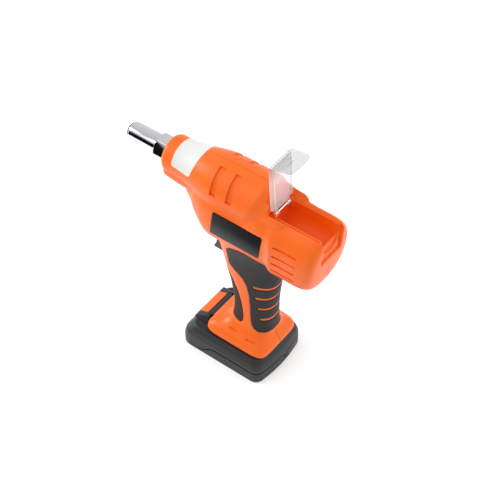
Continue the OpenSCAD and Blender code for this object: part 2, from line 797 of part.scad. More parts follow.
module planet_carrier() {
    color(dark_steel) {
        rod(plate_x + 1.4, carrier_x + nib, spindle_r, motor_z);
        rod(carrier_x, carrier_x + 5, 2.55 * planet_pitch_r, motor_z);
        for (a = [0, 120, 240])
            rod(carrier_x + 4, planet_x + planet_w + 0.6, 1.5, motor_z + 2 * planet_pitch_r * cos(a),
                2 * planet_pitch_r * sin(a));
    }
}
module planet_gear(k) {
    a = 120 * (k - 1);
    y = 2 * planet_pitch_r * sin(a);
    z = motor_z + 2 * planet_pitch_r * cos(a);
    color([0.62, 0.55, 0.36])
        difference() {
            gear(sun_teeth, planet_m, planet_x, planet_x + planet_w, z, y, 180 / sun_teeth);
            rod(planet_x - 1, planet_x + planet_w + 1, 1.5 + run, z, y);
        }
}
module planet_gear_1() {
    planet_gear(1);
}
module planet_gear_2() {
    planet_gear(2);
}
module planet_gear_3() {
    planet_gear(3);
}
// Space between the inner teeth of the ring: the outline of a gear with the ring's tooth count
module ring_gear() {
    color(steel)
        difference() {
            rod(ring_x, ring_x + ring_l, ring_r, motor_z);
            translate([ring_x - 1, 0, motor_z])
                rotate([0, 90, 0])
                    linear_extrude(height = ring_l + 2)
                        polygon([for (i = [0:ring_teeth - 1], q = [[-0.3, 1.2], [0.3, 1.2], [0.34, -0.8], [0.66, -0.8]])
                            let (r = planet_m * (ring_teeth / 2 + q[1]), a = 360 * (i + 0.5 + q[0]) / ring_teeth)
                                [r * cos(a), r * sin(a)]]);
        }
}
module sun_gear() {
    color([0.62, 0.55, 0.36])
        difference() {
            gear(sun_teeth, planet_m, planet_x - 0.3, planet_x + planet_w + 1, motor_z);
            rod(planet_x - 1, planet_x + planet_w + 2, shaft_r + 0.02, motor_z);
        }
}
module motor_can() {
    color(dark_steel)
        difference() {
            rod(motor_x, motor_x + motor_l - 3, motor_r, motor_z);
            rod(motor_x + 2, motor_x + motor_l, motor_r - 1.2, motor_z);
            rod(motor_x - 1, motor_x + 3, shaft_r + run, motor_z);
        }
}
module motor_magnets() {
    color([0.25, 0.25, 0.27])
        difference() {
            tube(motor_x + 8, motor_x + motor_l - 12, motor_r - 1.2 - run, motor_r - 4, motor_z);
            block([motor_x, -motor_r, motor_z - 2], [motor_x + motor_l, motor_r, motor_z + 2]);
        }
}
module motor_cap() {
    color(black)
        difference() {
            union() {
                rod(motor_x + motor_l - 3 + nib, motor_x + motor_l - 1, motor_r, motor_z);
                rod(motor_x + motor_l - 6, motor_x + motor_l - 2, motor_r - 1.2 - run, motor_z);
            }
            rod(motor_x + motor_l - 7, motor_x + motor_l - 3, motor_r - 4, motor_z);
            rod(motor_x + motor_l - 4, motor_x + motor_l + 1, shaft_r + run, motor_z);
        }
}
module motor_rotor() {
    core_r = motor_r - 4.4;
    color([0.7, 0.42, 0.22]) {
        difference() {
            rod(motor_x + 9, motor_x + motor_l - 13, core_r, motor_z);
            for (a = [0:72:288])
                translate([motor_x + 8, 0, motor_z])
                    rotate([a, 0, 0])
                        translate([0, -1, core_r - 5])
                            cube([motor_l, 2, 10]);
        }
        rod(motor_x + motor_l - 13 - nib, motor_x + motor_l - 8, 5, motor_z);
        rod(planet_x + 0.2, motor_x + motor_l - 1.5, shaft_r, motor_z);
    }
}
module guide_tube() {
    color(steel)
        tube(gear_x, tray_x + 1, tube_r, mandrel_d / 2 + 0.8);
}

// Tray and lid

module mandrel_tray() {
    ear_y = [lid_neck_b + 0.5, trough_b + 0.5];
    color([0.98, 0.38, 0.08])
        difference() {
            union() {
                difference() {
                    block([tray_x, -tray_b, tray_floor], [tray_end_x, tray_b, tray_top]);
                    rod(tray_x + 1.1, tray_end_x - 3.6, trough_b, trough_z);
                    block([tray_x + 1.1, -trough_b, trough_z], [tray_end_x - 3.6, trough_b, big]);
                    // Low rear wall that the lid tongue closes behind
                    block([tray_end_x - 3.7, -trough_b, tray_floor + 11], [tray_end_x + 1, trough_b, big]);
                    rod(tray_end_x - 1.8, tray_end_x + 1, trough_b, trough_z);
                }
                // Apron under the rear wall
                block([tray_end_x - apron_t, -tray_b, tray_floor - apron_h], [tray_end_x, tray_b, tray_floor + 1]);
                for (s = [-1, 1])
                    cross_rod(s > 0 ? ear_y[0] : -ear_y[1], s > 0 ? ear_y[1] : -ear_y[0], 2.6, hinge_x, hinge_z);
                for (s = [-1, 1])
                    block([hinge_x - 2.6, s > 0 ? ear_y[0] : -ear_y[1], trough_z],
                        [hinge_x + 2.6, s > 0 ? ear_y[1] : -ear_y[0], hinge_z]);
            }
            cross_rod(-big / 4, big / 4, pin_r + run, hinge_x, hinge_z);
            rod(tray_x - 1, tray_x + 3, tube_r + run);
        }
}
module lid_pin() {
    color(steel)
        cross_rod(-trough_b - 0.3, trough_b + 0.3, pin_r, hinge_x, hinge_z);
}

// Lid, drawn shut about its pin and then swung open
lid_z = 0.2;
bend_r = 6;
tongue_tilt = 6;
tongue_r = 12.5;
module lid_profile() {
    outer = [for (a = [90:-15:-tongue_tilt]) [lid_l - bend_r + bend_r * cos(a), lid_z + lid_t - bend_r + bend_r * sin(a)]];
    inner_r = bend_r - lid_t;
    inner = [for (a = [-tongue_tilt:15:90])
        [lid_l - bend_r + inner_r * cos(a), lid_z + lid_t - bend_r + inner_r * sin(a)]];
    tip = [-sin(tongue_tilt), -cos(tongue_tilt)] * (tongue_l - bend_r);
    polygon(concat([[2.4, lid_z], [2.4, lid_z + lid_t]], outer, [outer[len(outer) - 1] + tip, inner[0] + tip], inner));
}
module lid() {
    skirt_b = trough_b - 0.8;
    color([0.85, 0.9, 0.93, 0.45])
        translate([hinge_x, 0, hinge_z])
            rotate([0, -lid_open, 0])
                difference() {
                    union() {
                        intersection() {
                            rotate([90, 0, 0])
                                linear_extrude(height = 2 * lid_b, center = true)
                                    lid_profile();
                            // Tongue corners, rounded
                            translate([-1, 0, 0])
                                rotate([90, 0, 90])
                                    linear_extrude(height = lid_l + 10)
                                        hull() {
                                            translate([-lid_b, lid_z + lid_t])
                                                square([2 * lid_b, 1]);
                                            for (s = [-1, 1])
                                                translate([s * (lid_b - tongue_r), lid_z + lid_t - tongue_l + tongue_r + 0.4])
                                                    circle(r = tongue_r);
                                        }
                        }
                        // Skirts under both edges
                        for (s = [-1, 1])
                            translate([9, s * skirt_b - 0.5, lid_z - 2.6])
                                cube([lid_l - 19, 1, 2.7]);
                        // Ribs across the inside
                        for (i = [0:lid_ribs - 1])
                            translate([8 + 3 * i, -skirt_b, lid_z - 0.7])
                                cube([1, 2 * skirt_b, 0.8]);
                        // Grip ridges round the bend
                        for (i = [0:lid_ridges - 1])
                            translate([lid_l - bend_r, (i - (lid_ridges - 1) / 2) * 3.6 + 0.6, lid_z + lid_t - bend_r])
                                rotate([90, 0, 0])
                                    intersection() {
                                        difference() {
                                            cylinder(h = 1.2, r = bend_r + 0.6);
                                            translate([0, 0, -1])
                                                cylinder(h = 4, r = bend_r - 0.8);
                                        }
                                        translate([-1, -1, 0])
                                            cube([20, 20, 4]);
                                    }
                        // Latch tab inside the tongue
                        translate([lid_l - lid_t - 3.2, -5, lid_z + lid_t - 13])
                            cube([3.6, 10, 1.6]);
                        // Arms and knuckles on the pin
                        for (s = [-1, 1]) {
                            translate([0, s * (lid_neck_b - 2.7) - 2.7, lid_z])
                                cube([4, 5.4, lid_t]);
                            translate([0, s * (lid_neck_b - 2.7) + 2.7, 0])
                                rotate([90, 0, 0])
                                    cylinder(h = 5.4, r = 2.2);
                        }
                    }
                    // Clear corners beside the pin ears
                    for (s = [-1, 1])
                        translate([-5, s > 0 ? lid_neck_b : -lid_b - 1, -10])
                            cube([10.5, lid_b + 1 - lid_neck_b, 20]);
                    translate([0, big / 4, 0])
                        rotate([90, 0, 0])
                            cylinder(h = big / 2, r = pin_r + run);
                }
}

// Trigger

module trigger() {
    color(black)
        difference() {
            union() {
                side([[trigger_x, trigger_z[0]], [trigger_x + 1, trigger_z[0] + 3], [trigger_x + 3.4, trigger_mid_z - 5],
                    [trigger_x + 4, trigger_mid_z], [trigger_x + 3.4, trigger_mid_z + 5],
                    [trigger_x + 1.6, trigger_z[1] - 2], [trigger_x + 1.6, trigger_z[1]], [trigger_back_x, trigger_z[1]],
                    [trigger_back_x, trigger_z[0]]], -trigger_b, trigger_b);
                rod(trigger_back_x - 1, switch_x + 2.4, plunger_r, trigger_mid_z);
            }
            // Side scallops
            for (s = [-1, 1])
                translate([trigger_x - 1.5, s * (trigger_b + 2.4), trigger_mid_z - 20])
                    cylinder(h = 40, r = 3.6);
        }
}
module trigger_spring() {
    color(steel)
        coil(trigger_back_x + 0.2, switch_x - 0.2, plunger_r + 1.2, 0.4, 4, trigger_mid_z);
}
module trigger_switch() {
    color([0.2, 0.22, 0.25])
        difference() {
            block([switch_x, -switch_b, trigger_z[0] - 1.1], [switch_x + switch_l, switch_b, trigger_z[1] + 2.1]);
            rod(switch_x - 1, switch_x + 2.6 + trigger_travel, plunger_r + run, trigger_mid_z);
        }
}
module control_board() {
    x = (foot_x + handle_x) / 2;
    z = foot_z + 16 + seat;
    a = foot_a - 9.5 - wall - grip_t - 8;
    b = foot_b - 8 - wall - grip_t - 4;
    color([0.1, 0.4, 0.2])
        union() {
            block([x - a, -b, z], [x + a, b, z + 1.6]);
            block([x - 0.62 * a, -0.6 * b, z + 1.5], [x - 0.12 * a, 0, z + 5]);
            block([x + 0.12 * a, -0.15 * b, z + 1.5], [x + 0.75 * a, 0.6 * b, z + 4]);
        }
}
blade_y = [-12, 0, 12];
module foot_terminal() {
    x1 = foot_x + foot_a - 11;
    color([0.25, 0.25, 0.27]) {
        block([x1 + seat, -rail_neck_b, foot_z + 0.6], [x1 + 6, rail_neck_b, channel_z - seat]);
        for (y = blade_y)
            block([x1 - 9, y - 0.4, pack_h + 3], [x1 + 1, y + 0.4, pack_h + 7.5]);
    }
}

// Battery pack

// Outline of the pack in plan: round corners, and a rear end that bows outwards
pack_bow = 2.5;
function corner(x, y, r, a) = [for (t = [0:15:90]) [x + r * cos(a + t), y + r * sin(a + t)]];
function pack_outline(x0, x1, w, r) = concat(
    corner(x0 + r + 2, w / 2 - r - 2, r + 2, 90), corner(x0 + r + 2, r + 2 - w / 2, r + 2, 180),
    corner(x1 - r, r - w / 2, r, 270),
    [for (t = [-0.8:0.2:0.81]) [x1 + pack_bow * (1 - t * t), t * (w / 2 - r)]], corner(x1 - r, w / 2 - r, r, 0));
module pack_layer(front, back, side, z, h) {
    translate([0, 0, z])
        linear_extrude(height = h)
            polygon(pack_outline(pack_front + front, pack_l / 2 - back, pack_w - 2 * side, pack_r));
}
module pack_form() {
    hull() {
        pack_layer(0.8, 0.8, 0.8, 0, 0.2);
        pack_layer(0, 0, 0, 1.2, pack_h - 19.2);
        pack_layer(2, 0, 0.2, pack_h - 12, 1);
        pack_layer(6.5, 1, 1.8, pack_h - 5.5, 0.2);
        pack_layer(11, 4.3, 4.5, pack_h - 0.4, 0.4);
    }
}
module room(front, back, side, z0, z1) {
    translate([(pack_front + front + pack_l / 2 - back) / 2, 0, 0])
        slab(pack_l / 2 - back - pack_front - front, pack_w - 2 * side, pack_r - 5, z0, z1);
}
module pack_room() {
    room(3.6, pack_wall - 0.2, pack_wall, pack_wall, pack_h - 13.5);
    room(5.6, 3.2, pack_wall + 1, pack_h - 14, pack_h - 9.5);
    room(10, 5, pack_wall + 1.4, pack_h - 10, pack_h - 7);
    room(13, 9, 8, pack_h - 7.5, pack_h - pack_wall);
}
// Side view of the seam between the cases: level at the rear, running down to the base at the front
function seam_points(dz) = [[big / 4, split_z + dz], [-6, split_z + dz], [-12, split_z - 1.6 + dz], [-19, split_z - 7 + dz],
    [-25, 2.6 + dz], [-29, 1.6 + dz], [-big / 4, 1.6 + dz]];
module pack_lower() {
    color(black)
        difference() {
            intersection() {
                pack_form();
                side(concat([[-big / 4, -5], [big / 4, -5]], seam_points(0)), -big / 4, big / 4);
            }
            pack_room();
            // Mouth of the charging jack
            rod(pack_l / 2 - 8, pack_l / 2 + pack_bow + 1, jack_r + run, jack_z, jack_y);
            // Shallow panel round it
            block([pack_l / 2 + pack_bow - 0.9, jack_y - 2 * jack_r, 1.6],
                [pack_l / 2 + pack_bow + 5, jack_y + 2 * jack_r, split_z + 2]);
            for (sx = [-1, 1], sy = [-1, 1])
                translate([sx * (pack_l / 2 - 8), sy * (pack_w / 2 - 8), -1])
                    cylinder(h = 1.8, r = 2.6);
        }
}
// Sloped hood on the front of the pack, with a pocket for the release button
button_b = 16;
hood_b = 25;
button_x = [hood_x - 15.6, hood_x - 4.8];
function hood_z(x) = hood_top - (hood_x - hood_flat - x) * hood_slope;
button_base = hood_z(button_x[0]) - 2.2;
button_floor = button_base - button_travel - 0.4;
hood_r = 7;
module hood() {
    intersection() {
        side([[hood_x, pack_h - 3], [hood_x, hood_top], [hood_x - hood_flat, hood_top],
            [hood_x - 16.2, hood_z(hood_x - 16.2)], [hood_x - 20, pack_h - 3.5], [hood_x - 20, pack_h - 6],
            [hood_x - 10, pack_h - 6]], -hood_b, hood_b);
        slab(2 * (20 - hood_x), 2 * hood_b, hood_r, 0, pack_h + 20);
        // Bevel along both ends of the hood
        rotate([90, 0, 90])
            linear_extrude(height = 4 * pack_l, center = true)
                polygon([[-hood_b, 0], [hood_b, 0], [hood_b, hood_top - 6.5], [hood_b - 5.5, hood_top + 1],
                    [5.5 - hood_b, hood_top + 1], [-hood_b, hood_top - 6.5]]);
    }
}
module pack_upper() {
    x1 = foot_x + foot_a - 12;
    color(black)
        difference() {
            union() {
                difference() {
                    pack_form();
                    side(concat([[-big / 4, -5], [big / 4, -5]], seam_points(split_gap)), -big / 4, big / 4);
                    pack_room();
                }
                hood();
                // Rail that slides in the foot
                block([hood_x - 1, -rail_neck_b, pack_h - 1], [x1, rail_neck_b, pack_h + rail_h]);
                block([hood_x + 2, -rail_b, pack_h + 4 + slide], [x1, rail_b, pack_h + rail_h]);
            }
            // Slots for the terminal blades
            for (y = blade_y)
                block([x1 - 12, y - 0.9, pack_h + 2.4], [x1 + 1, y + 0.9, pack_h + rail_h + 1]);
            // Pocket for the release button
            block([button_x[0] - 0.3, -button_b - 0.3, button_floor], [button_x[1] + 0.3, button_b + 0.3, big]);
        }
}
// The cells lie across the pack in one row and take their size from it
cell_pitch = (pack_l - 2 * pack_wall - 2) / cell_n;
cell_d = cell_pitch - 0.84;
cell_l = pack_w - 2 * pack_wall - 7.2;
cell_shift = 1.2;
module pack_cells() {
    color([0.2, 0.45, 0.7])
        for (i = [0:cell_n - 1])
            cross_rod(-cell_l / 2, cell_l / 2, cell_d / 2, (i - (cell_n - 1) / 2) * cell_pitch + cell_shift,
                pack_wall + seat + cell_d / 2);
}
board_z = pack_wall + seat + cell_d + seat;
module pack_board() {
    color([0.1, 0.4, 0.2])
        block([-24, -18, board_z], [26, 18, board_z + 1.2]);
}
module pack_contacts() {
    x1 = foot_x + foot_a - 12;
    color([0.85, 0.6, 0.3])
        for (y = blade_y, s = [-1, 1])
            block([x1 - 11, y + (s > 0 ? 0.45 : -0.85), pack_h + 2.5], [x1 - 4, y + (s > 0 ? 0.85 : -0.45), pack_h + 8]);
}
module pack_screws() {
    color(dark_steel)
        for (sx = [-1, 1], sy = [-1, 1])
            translate([sx * (pack_l / 2 - 8), sy * (pack_w / 2 - 8), 0.3])
                cylinder(h = 0.5, r = 2.4);
}
jack_r = 2.6;
jack_y = 5.6;
jack_z = 7;
module charge_jack() {
    color([0.08, 0.08, 0.08])
        difference() {
            rod(pack_l / 2 + pack_bow - 4.2, pack_l / 2 + pack_bow - 1.1, jack_r, jack_z, jack_y);
            rod(pack_l / 2 + pack_bow - 3.4, pack_l / 2 + pack_bow + 1, jack_r - 0.8, jack_z, jack_y);
        }
}
module release_button() {
    color(orange)
        side([[button_x[0], button_base], [button_x[0], hood_z(button_x[0]) + 0.4],
            [button_x[1], hood_z(button_x[1]) + 0.4], [button_x[1], button_base]], -button_b, button_b);
}
module button_spring() {
    mid = (button_x[0] + button_x[1]) / 2;
    color(steel)
        for (y = [-9, 9])
            translate([mid, y, 0])
                rotate([0, -90, 0])
                    coil(button_floor + 0.1, button_base - 0.1, 1.5, 0.22, 2, 0);
}

housing_left();
housing_right();
grip_left();
grip_right();
housing_screws();
nosepiece();
nose_sleeve();
locknut();
nose_frame();
gear_plate_front();
gear_plate_rear();
thrust_bearing();
rear_bearing();
ring_gear();
motor_can();
motor_magnets();
motor_cap();
guide_tube();
mandrel_tray();
lid_pin();
trigger_switch();
control_board();
foot_terminal();
lid();
trigger();
trigger_spring();
pull_screw();
jaw_case();
jaws();
jaw_pusher();
jaw_spring();
nut_gear();
planet_carrier();
output_pinion();
planet_gear_1();
planet_gear_2();
planet_gear_3();
motor_rotor();
sun_gear();
pack_lower();
pack_upper();
pack_cells();
pack_contacts();
pack_board();
pack_screws();
charge_jack();
release_button();
button_spring();
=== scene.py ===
import math
import bpy
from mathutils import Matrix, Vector


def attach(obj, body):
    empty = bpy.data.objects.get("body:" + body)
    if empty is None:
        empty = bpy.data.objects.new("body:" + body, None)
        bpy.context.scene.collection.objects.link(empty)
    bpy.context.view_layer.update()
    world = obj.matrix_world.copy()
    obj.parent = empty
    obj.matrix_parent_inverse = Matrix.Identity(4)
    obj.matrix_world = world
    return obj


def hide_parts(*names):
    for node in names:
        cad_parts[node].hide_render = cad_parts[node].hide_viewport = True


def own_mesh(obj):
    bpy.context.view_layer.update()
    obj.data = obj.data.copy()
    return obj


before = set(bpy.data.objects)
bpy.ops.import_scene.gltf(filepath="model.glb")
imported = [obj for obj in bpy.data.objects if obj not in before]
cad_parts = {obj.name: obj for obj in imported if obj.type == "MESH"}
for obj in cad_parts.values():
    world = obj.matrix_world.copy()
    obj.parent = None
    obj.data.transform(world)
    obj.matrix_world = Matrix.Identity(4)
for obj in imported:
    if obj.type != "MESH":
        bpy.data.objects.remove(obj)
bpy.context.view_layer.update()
mm = 0.001
axisHeight = 226.5  # rivet axis above the base
onAxis = 0.01  # smallest radius of a turned profile
print("frame loaded")


# small tools used by every piece

def deselectAll():
    if bpy.context.mode != "OBJECT":
        bpy.ops.object.mode_set(mode="OBJECT")
    bpy.ops.object.select_all(action="DESELECT")


def makeActive(piece):
    deselectAll()
    piece.select_set(True)
    bpy.context.view_layer.objects.active = piece


def applyModifier(piece, kind, **values):
    makeActive(piece)
    modifier = piece.modifiers.new(kind.lower(), kind)
    for key, value in values.items():
        setattr(modifier, key, value)
    bpy.ops.object.modifier_apply(modifier=modifier.name)


def faceOutwards():  # in edit mode
    bpy.ops.mesh.select_all(action="SELECT")
    bpy.ops.mesh.normals_make_consistent(inside=False)
    bpy.ops.object.mode_set(mode="OBJECT")


def closeSkin(piece):
    makeActive(piece)
    bpy.ops.object.mode_set(mode="EDIT")
    bpy.ops.mesh.select_mode(type="VERT")
    bpy.ops.mesh.select_all(action="SELECT")
    bpy.ops.mesh.remove_doubles(threshold=1e-6)
    bpy.ops.mesh.select_all(action="SELECT")
    bpy.ops.mesh.fill_holes(sides=0)  # caps both ends
    faceOutwards()


def skinThrough(name, rings):
    rows, around = len(rings), len(rings[0])
    deselectAll()
    bpy.ops.mesh.primitive_grid_add(x_subdivisions=around, y_subdivisions=rows - 1, size=2)
    skin = bpy.context.object
    skin.name = name
    for vertex in skin.data.vertices:  # wraps the flat grid round the rings
        i = round((vertex.co.x + 1) / 2 * around) % around
        j = round((vertex.co.y + 1) / 2 * (rows - 1))
        vertex.co = Vector(rings[j][i]) * mm
    closeSkin(skin)
    return skin


def outlinePrism(name, outline, low, high, along="y"):
    deselectAll()
    bpy.ops.mesh.primitive_circle_add(vertices=len(outline), fill_type="NGON")
    prism = bpy.context.object
    prism.name = name
    step = {"x": (1, 0, 0), "y": (0, 1, 0), "z": (0, 0, 1)}[along]
    for vertex, (a, b) in zip(prism.data.vertices, outline):
        place = {"x": (low, a, b), "y": (a, low, b), "z": (a, b, low)}[along]
        vertex.co = Vector(place) * mm
    bpy.ops.object.mode_set(mode="EDIT")
    bpy.ops.mesh.select_all(action="SELECT")
    bpy.ops.mesh.extrude_region_move(
        TRANSFORM_OT_translate={"value": Vector(step) * (high - low) * mm})
    faceOutwards()
    return prism


def boxBlock(name, low, high):
    corners = [(low[0], low[2]), (high[0], low[2]), (high[0], high[2]), (low[0], high[2])]
    return outlinePrism(name, corners, low[1], high[1])


def turnedPiece(name, profile, steps=96):
    deselectAll()
    bpy.ops.mesh.primitive_circle_add(vertices=len(profile), fill_type="NOTHING")
    piece = bpy.context.object
    piece.name = name
    for vertex, (x, radius) in zip(piece.data.vertices, profile):
        vertex.co = Vector((x, 0, axisHeight + radius)) * mm
    bpy.ops.object.mode_set(mode="EDIT")
    bpy.ops.mesh.select_all(action="SELECT")
    bpy.ops.mesh.spin(steps=steps, angle=2 * math.pi, center=(0, 0, axisHeight * mm), axis=(1, 0, 0))
    bpy.ops.object.mode_set(mode="OBJECT")
    closeSkin(piece)
    return piece


def roundBar(name, front, rear, radius, steps=96):
    return turnedPiece(name, [(front, onAxis), (front, radius), (rear, radius), (rear, onAxis)], steps)


def cutBy(piece, cutter, operation="DIFFERENCE"):
    applyModifier(piece, "BOOLEAN", object=cutter, operation=operation, solver="MANIFOLD")
    bpy.data.objects.remove(cutter)


def copyOf(piece, name):
    twin = piece.copy()
    twin.data = piece.data.copy()
    twin.name = name
    bpy.context.scene.collection.objects.link(twin)
    return twin


def splitAtSeam(left, rightName, gap):
    right = copyOf(left, rightName)
    cutBy(left, boxBlock("leftHalf", (-200, -100, -10), (200, -gap, 400)), "INTERSECT")
    cutBy(right, boxBlock("rightHalf", (-200, gap, -10), (200, 100, 400)), "INTERSECT")
    return right


def copyNode(node, name):
    piece = bpy.data.objects.new(name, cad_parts[node].data.copy())
    bpy.context.scene.collection.objects.link(piece)
    piece.data.materials.clear()
    makeActive(piece)
    bpy.ops.mesh.customdata_custom_splitnormals_clear()
    bpy.ops.object.mode_set(mode="EDIT")
    bpy.ops.mesh.select_all(action="SELECT")
    bpy.ops.mesh.remove_doubles(threshold=2e-6)
    bpy.ops.object.mode_set(mode="OBJECT")
    return piece


def soften(piece, voxel, rounds, thinTo=1.0):
    applyModifier(piece, "REMESH", mode="VOXEL", voxel_size=voxel * mm)
    applyModifier(piece, "SMOOTH", factor=0.5, iterations=rounds)
    if thinTo < 1:
        applyModifier(piece, "DECIMATE", ratio=thinTo)


def finishPiece(piece, body, material, nodes=(), angle=35):
    makeActive(piece)
    bpy.ops.object.shade_smooth_by_angle(angle=math.radians(angle))
    piece.data.materials.clear()
    piece.data.materials.append(material)
    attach(piece, body)
    if nodes:
        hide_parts(*nodes)
    print("made", piece.name, len(piece.data.polygons), "faces")


def fullTurn(around):
    return [2 * math.pi * i / around for i in range(around)]


def signedPower(c, p):
    return math.copysign(abs(c) ** (2 / p), c)


def blendRows(rows, k):
    out = []
    for i in range(len(rows) - 1):
        p0, p1, p2, p3 = rows[max(i - 1, 0)], rows[i], rows[i + 1], rows[min(i + 2, len(rows) - 1)]
        for j in range(k):
            t = j / k
            out.append([0.5 * (2 * b + (c - a) * t + (2 * a - 5 * b + 4 * c - d) * t * t
                               + (3 * b - a - 3 * c + d) * t ** 3) for a, b, c, d in zip(p0, p1, p2, p3)])
    return out + [list(rows[-1])]


def roundOutline(points, times):
    for _ in range(times):  # cuts every corner in two
        out = []
        for a, b in zip(points, points[1:] + points[:1]):
            out.append((a[0] * 0.75 + b[0] * 0.25, a[1] * 0.75 + b[1] * 0.25))
            out.append((a[0] * 0.25 + b[0] * 0.75, a[1] * 0.25 + b[1] * 0.75))
        points = out
    return points


def capsule(x0, x1, z, height, steps=8):
    r = height / 2
    turn = [math.pi * i / steps for i in range(steps + 1)]
    right = [(x1 - r + r * math.sin(t), z - r * math.cos(t)) for t in turn]
    left = [(x0 + r - r * math.sin(t), z + r * math.cos(t)) for t in turn]
    return right + left


# finishes

def newGroup(name, inputs, outputs):
    group = bpy.data.node_groups.new(name, "ShaderNodeTree")
    for label, value in inputs:
        socket = group.interface.new_socket(label, in_out="INPUT", socket_type="NodeSocketFloat")
        socket.default_value = value
    for label in outputs:
        group.interface.new_socket(label, in_out="OUTPUT", socket_type="NodeSocketFloat")
    return group, group.nodes.new("NodeGroupInput"), group.nodes.new("NodeGroupOutput")


def mouldedGrainGroup():
    group, start, end = newGroup("mouldedGrain", [("Grain Scale", 900.0), ("Cloud Scale", 25.0)],
                                 ["Height", "Cloud", "Edge"])
    nodes, links = group.nodes, group.links
    place = nodes.new("ShaderNodeTexCoord")
    grain = nodes.new("ShaderNodeTexNoise")
    grain.inputs["Detail"].default_value = 3.0
    grain.inputs["Roughness"].default_value = 0.6
    cloud = nodes.new("ShaderNodeTexNoise")
    cloud.inputs["Detail"].default_value = 4.0
    shape = nodes.new("ShaderNodeNewGeometry")
    edge = nodes.new("ShaderNodeMapRange")
    edge.inputs["From Min"].default_value = 0.53  # pointiness of a sharp edge
    edge.inputs["From Max"].default_value = 0.62
    links.new(place.outputs["Object"], grain.inputs["Vector"])
    links.new(place.outputs["Object"], cloud.inputs["Vector"])
    links.new(start.outputs["Grain Scale"], grain.inputs["Scale"])
    links.new(start.outputs["Cloud Scale"], cloud.inputs["Scale"])
    links.new(shape.outputs["Pointiness"], edge.inputs["Value"])
    links.new(grain.outputs["Fac"], end.inputs["Height"])
    links.new(cloud.outputs["Fac"], end.inputs["Cloud"])
    links.new(edge.outputs["Result"], end.inputs["Edge"])
    return group


def turnedMarksGroup():
    group, start, end = newGroup("turnedMarks", [("Mark Scale", 1.0)], ["Marks", "Smudge"])
    nodes, links = group.nodes, group.links
    place = nodes.new("ShaderNodeTexCoord")
    stretch = nodes.new("ShaderNodeMapping")
    stretch.inputs["Scale"].default_value = (4000.0, 60.0, 60.0)  # fine rings round the axis
    marks = nodes.new("ShaderNodeTexNoise")
    marks.inputs["Detail"].default_value = 2.0
    smudge = nodes.new("ShaderNodeTexNoise")
    smudge.inputs["Scale"].default_value = 70.0
    smudge.inputs["Detail"].default_value = 5.0
    links.new(place.outputs["Object"], stretch.inputs["Vector"])
    links.new(stretch.outputs["Vector"], marks.inputs["Vector"])
    links.new(start.outputs["Mark Scale"], marks.inputs["Scale"])
    links.new(place.outputs["Object"], smudge.inputs["Vector"])
    links.new(marks.outputs["Fac"], end.inputs["Marks"])
    links.new(smudge.outputs["Fac"], end.inputs["Smudge"])
    return group


mouldedGrain = mouldedGrainGroup()
turnedMarks = turnedMarksGroup()


def startMaterial(name):
    material = bpy.data.materials.new(name)
    material.use_nodes = True
    tree = material.node_tree
    return material, tree.nodes, tree.links, tree.nodes["Principled BSDF"]


def placeGroup(nodes, group, **values):
    holder = nodes.new("ShaderNodeGroup")
    holder.node_tree = group
    for key, value in values.items():
        holder.inputs[key.capitalize() + " Scale"].default_value = value
    return holder


def rangeOf(nodes, links, source, low, high, target, fromMin=0.3, fromMax=0.7):
    span = nodes.new("ShaderNodeMapRange")
    span.inputs["From Min"].default_value = fromMin
    span.inputs["From Max"].default_value = fromMax
    span.inputs["To Min"].default_value = low
    span.inputs["To Max"].default_value = high
    links.new(source, span.inputs["Value"])
    links.new(span.outputs["Result"], target)


def toneBetween(nodes, low, high):
    tone = nodes.new("ShaderNodeMix")
    tone.data_type = "RGBA"
    tone.inputs["A"].default_value = (*low, 1)
    tone.inputs["B"].default_value = (*high, 1)
    return tone


def addBump(nodes, links, height, shader, strength, depth):
    bump = nodes.new("ShaderNodeBump")
    bump.inputs["Strength"].default_value = strength
    bump.inputs["Distance"].default_value = depth * mm
    links.new(height, bump.inputs["Height"])
    links.new(bump.outputs["Normal"], shader.inputs["Normal"])


def toneByHeight(nodes, links, shader, low, high, zRange):
    place = nodes.new("ShaderNodeTexCoord")
    axes = nodes.new("ShaderNodeSeparateXYZ")
    tone = toneBetween(nodes, low, high)
    links.new(place.outputs["Object"], axes.inputs["Vector"])
    rangeOf(nodes, links, axes.outputs["Z"], 0.0, 1.0, tone.inputs["Factor"], *zRange)
    links.new(tone.outputs["Result"], shader.inputs["Base Color"])


def plastic(name, colour, shade, rough, grainScale=900.0, grainDepth=0.02, paintedEdgeLight=0.25, specular=0.5):
    material, nodes, links, shader = startMaterial(name)
    grain = placeGroup(nodes, mouldedGrain, grain=grainScale)
    tone = toneBetween(nodes, [c * shade for c in colour], colour)
    # lightens the colour along sharp edges: a painted edge highlight
    edgeHighlight = toneBetween(nodes, colour, [c + (1 - c) * paintedEdgeLight for c in colour])
    rangeOf(nodes, links, grain.outputs["Edge"], 0.0, 0.35, edgeHighlight.inputs["Factor"], 0.0, 1.0)
    links.new(grain.outputs["Cloud"], tone.inputs["Factor"])
    links.new(tone.outputs["Result"], edgeHighlight.inputs["A"])
    links.new(edgeHighlight.outputs["Result"], shader.inputs["Base Color"])
    rangeOf(nodes, links, grain.outputs["Cloud"], *rough, shader.inputs["Roughness"])
    addBump(nodes, links, grain.outputs["Height"], shader, 0.35, grainDepth)
    shader.inputs["Specular IOR Level"].default_value = specular
    return material


def metal(name, colour, rough, markDepth=0.004, markScale=1.0):
    material, nodes, links, shader = startMaterial(name)
    marks = placeGroup(nodes, turnedMarks, mark=markScale)
    tone = toneBetween(nodes, [c * 0.86 for c in colour], colour)
    links.new(marks.outputs["Smudge"], tone.inputs["Factor"])
    links.new(tone.outputs["Result"], shader.inputs["Base Color"])
    rangeOf(nodes, links, marks.outputs["Smudge"], *rough, shader.inputs["Roughness"])
    addBump(nodes, links, marks.outputs["Marks"], shader, 0.2, markDepth)
    shader.inputs["Metallic"].default_value = 1.0
    return material


